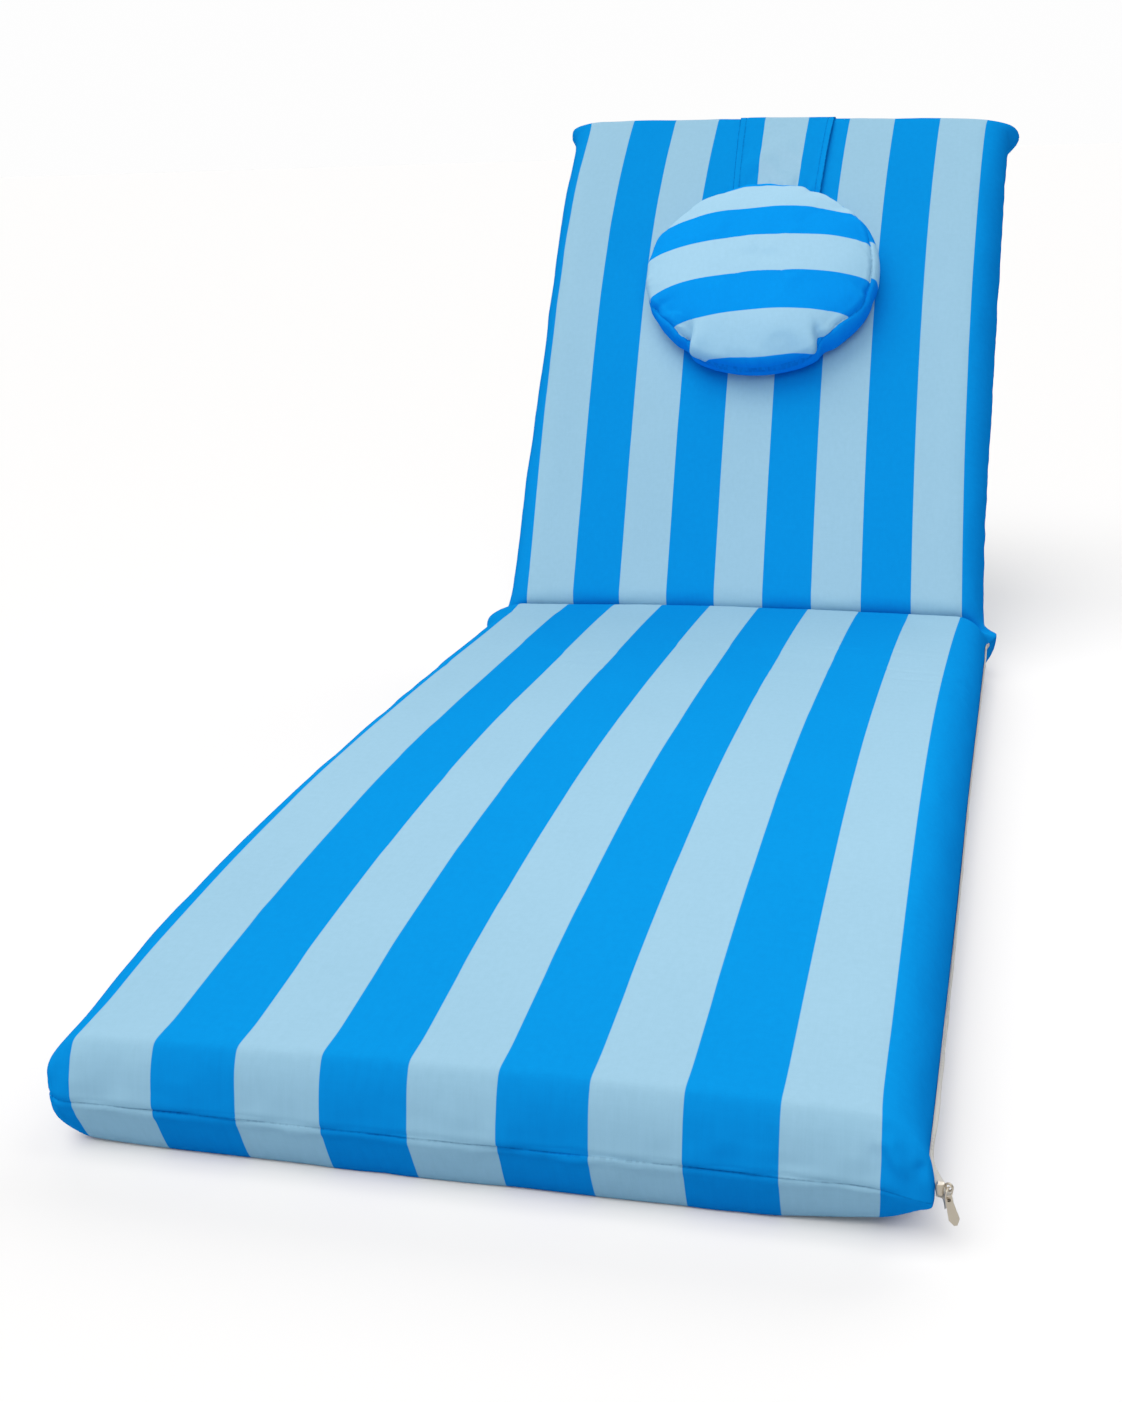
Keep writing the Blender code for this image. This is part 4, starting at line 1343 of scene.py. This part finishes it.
@dataclass
class Studio:
    """Camera, pale floor, soft light and a gentle highlight roll-off."""

    camera_place: Triple = (0.32147, -1.52441, 0.66297)
    camera_heading: Triple = (-0.237402, 0.920181, -0.311299)
    camera_up: Triple = (-0.042293, 0.310365, 0.949676)
    lens: float = 45.50325
    sensor: float = 36.0
    floor_size: float = 60.0
    floor_tones: Triple = (1.0, 0.985, 0.970)
    floor_bounce: float = 0.55
    sky_light: float = 0.03
    sky_seen: float = 0.970
    # Broad soft lamps: where each stands, seen from the cushion, its strength and its spread in degrees
    lamps: Rows = (
        (-0.38, -0.22, 0.90, 1.38, 50.0), (0.00, -0.47, 0.88, 0.70, 45.0), (0.33, 0.78, 0.53, 1.05, 40.0),
        (-0.33, -0.78, 0.53, 0.62, 80.0), (-0.32, 0.79, 0.53, 0.50, 40.0),
    )
    near_lamp: Triple = (0.38, -0.42, 1.15)
    near_lamp_size: float = 0.8
    near_lamp_aim: Triple = (0.01, 0.88, 0.40)
    near_lamp_power: float = 3.2
    roll_off: float = 0.8

    def place_camera(self) -> None:
        """Set the camera where the cushion was seen from."""
        data = bpy.data.cameras.new("view")
        data.sensor_width = self.sensor
        data.lens = self.lens
        camera = bpy.data.objects.new("view", data)
        heading, up = Vector(self.camera_heading).normalized(), Vector(self.camera_up)
        right = heading.cross(up).normalized()
        up = right.cross(heading)
        turn = Matrix((right, up, -heading)).transposed().to_4x4()
        camera.matrix_world = Matrix.Translation(self.camera_place) @ turn
        bpy.context.scene.collection.objects.link(camera)
        bpy.context.scene.camera = camera

    def lay_floor(self) -> None:
        """Lay a plain pale floor."""
        builder = bmesh.new()
        bmesh.ops.create_grid(builder, x_segments=2, y_segments=2, size=0.5 * self.floor_size)
        mesh = bpy.data.meshes.new("floor")
        builder.to_mesh(mesh)
        builder.free()
        mesh.materials.append(self.floor_material())
        floor = bpy.data.objects.new("floor", mesh)
        bpy.context.scene.collection.objects.link(floor)

    def floor_material(self) -> bpy.types.Material:
        """Matt white paper that throws less light back up than it shows."""
        made = bpy.data.materials.new("pale_floor")
        made.use_nodes = True
        made.node_tree.nodes.clear()
        board = Board(made.node_tree)
        seen = board.add("ShaderNodeLightPath").outputs["Is Camera Ray"]
        tone = board.mix(seen, (*(self.floor_bounce,) * 3, 1.0), (*self.floor_tones, 1.0))
        shader = board.add("ShaderNodeBsdfDiffuse", {"Color": tone})
        output = board.add("ShaderNodeOutputMaterial")
        board.feed(output.inputs["Surface"], shader.outputs["BSDF"])
        return made

    def light(self) -> None:
        """Dim surroundings that look white, broad soft lamps all round and a weak one turned to the pillow."""
        scene = bpy.context.scene
        world = bpy.data.worlds.new("surroundings")
        world.use_nodes = True
        world.node_tree.nodes.clear()
        board = Board(world.node_tree)
        seen = board.add("ShaderNodeLightPath").outputs["Is Camera Ray"]
        strength = board.add("ShaderNodeMapRange", {"Value": seen, "To Min": self.sky_light, "To Max": self.sky_seen})
        background = board.add("ShaderNodeBackground", {"Strength": strength.outputs["Result"]})
        background.inputs["Color"].default_value = (1.0, 1.0, 1.0, 1.0)
        output = board.add("ShaderNodeOutputWorld")
        board.feed(output.inputs["Surface"], background.outputs["Background"])
        scene.world = world
        for number, (x, y, z, strength, spread) in enumerate(self.lamps):
            data = bpy.data.lights.new(f"soft_lamp_{number}", "SUN")
            data.angle = math.radians(spread)
            data.energy = strength
            self.aim_lamp(data, Vector((x, y, z)) * 4.0, Vector((0.0, 0.0, 0.0)))
        data = bpy.data.lights.new("near_lamp", "AREA")
        data.shape = "DISK"
        data.size = self.near_lamp_size
        data.energy = self.near_lamp_power
        self.aim_lamp(data, Vector(self.near_lamp), Vector(self.near_lamp_aim))

    @staticmethod
    def aim_lamp(data: bpy.types.Light, place: Vector, aim: Vector) -> None:
        """Put a lamp at a place and turn it towards another."""
        lamp = bpy.data.objects.new(data.name, data)
        lamp.location = place
        lamp.rotation_euler = (aim - place).to_track_quat("-Z", "Y").to_euler()
        bpy.context.scene.collection.objects.link(lamp)

    def set_tones(self) -> None:
        """Roll the highlights off gently, as a photograph does."""
        view = bpy.context.scene.view_settings
        view.view_transform = "Standard"
        view.use_curve_mapping = True
        curve = view.curve_mapping.curves[3]
        for place in (0.03, 0.08, 0.16, 0.28, 0.44, 0.62, 0.82):
            curve.points.new(place, (1.0 + self.roll_off) * place / (place + self.roll_off))
        view.curve_mapping.update()

    def build(self) -> None:
        """Set up the studio."""
        self.place_camera()
        self.lay_floor()
        self.light()
        self.set_tones()


def main() -> None:
    """Build every piece in order."""
    logging.basicConfig(level=logging.INFO, format="%(message)s")
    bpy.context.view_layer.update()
    form = CushionForm()
    groups = FinishGroups()
    Studio().build()
    cover = MattressCover(form, StripedCloth("cover_cloth"))
    # The pillow's cloth has the cover's print in lighter colours. This is painted light, because the pillow's face is
    # turned more towards the lamps.
    pillow_cloth = StripedCloth(
        "pillow_cloth", way=StripeWay.ALONG, light=(0.235, 0.500, 0.780), dark=(0.0015, 0.184, 0.830),
        shift=-0.030, bands=99.0,
    )
    pillow = HeadPillow(form, pillow_cloth)
    # The strap has stronger, wider painted shade along its stitches and edges.
    strap_cloth = StripedCloth(
        "strap_cloth", shift=0.0, bands=1.0, roughness=0.42, gloss=0.20, seam_shade=0.55, seam_line=0.0009,
    )
    strap = PillowStrap(form, strap_cloth, pillow)
    tape = PlainFinish("zip_tape_cloth", (0.50, 0.48, 0.43), 0.75, specular=0.1)
    metal = PlainFinish("zip_metal", (0.50, 0.43, 0.33), 0.34, metallic=1.0, grain_depth=0.00001, tone_change=0.10)
    pieces = [cover.build(groups), pillow.build(groups), strap.build(groups), *SideZip(form, tape, metal).build()]
    for piece in pieces:
        log.info("%s: %d faces", piece.name, len(piece.data.polygons))


if __name__ == "__main__":
    main()
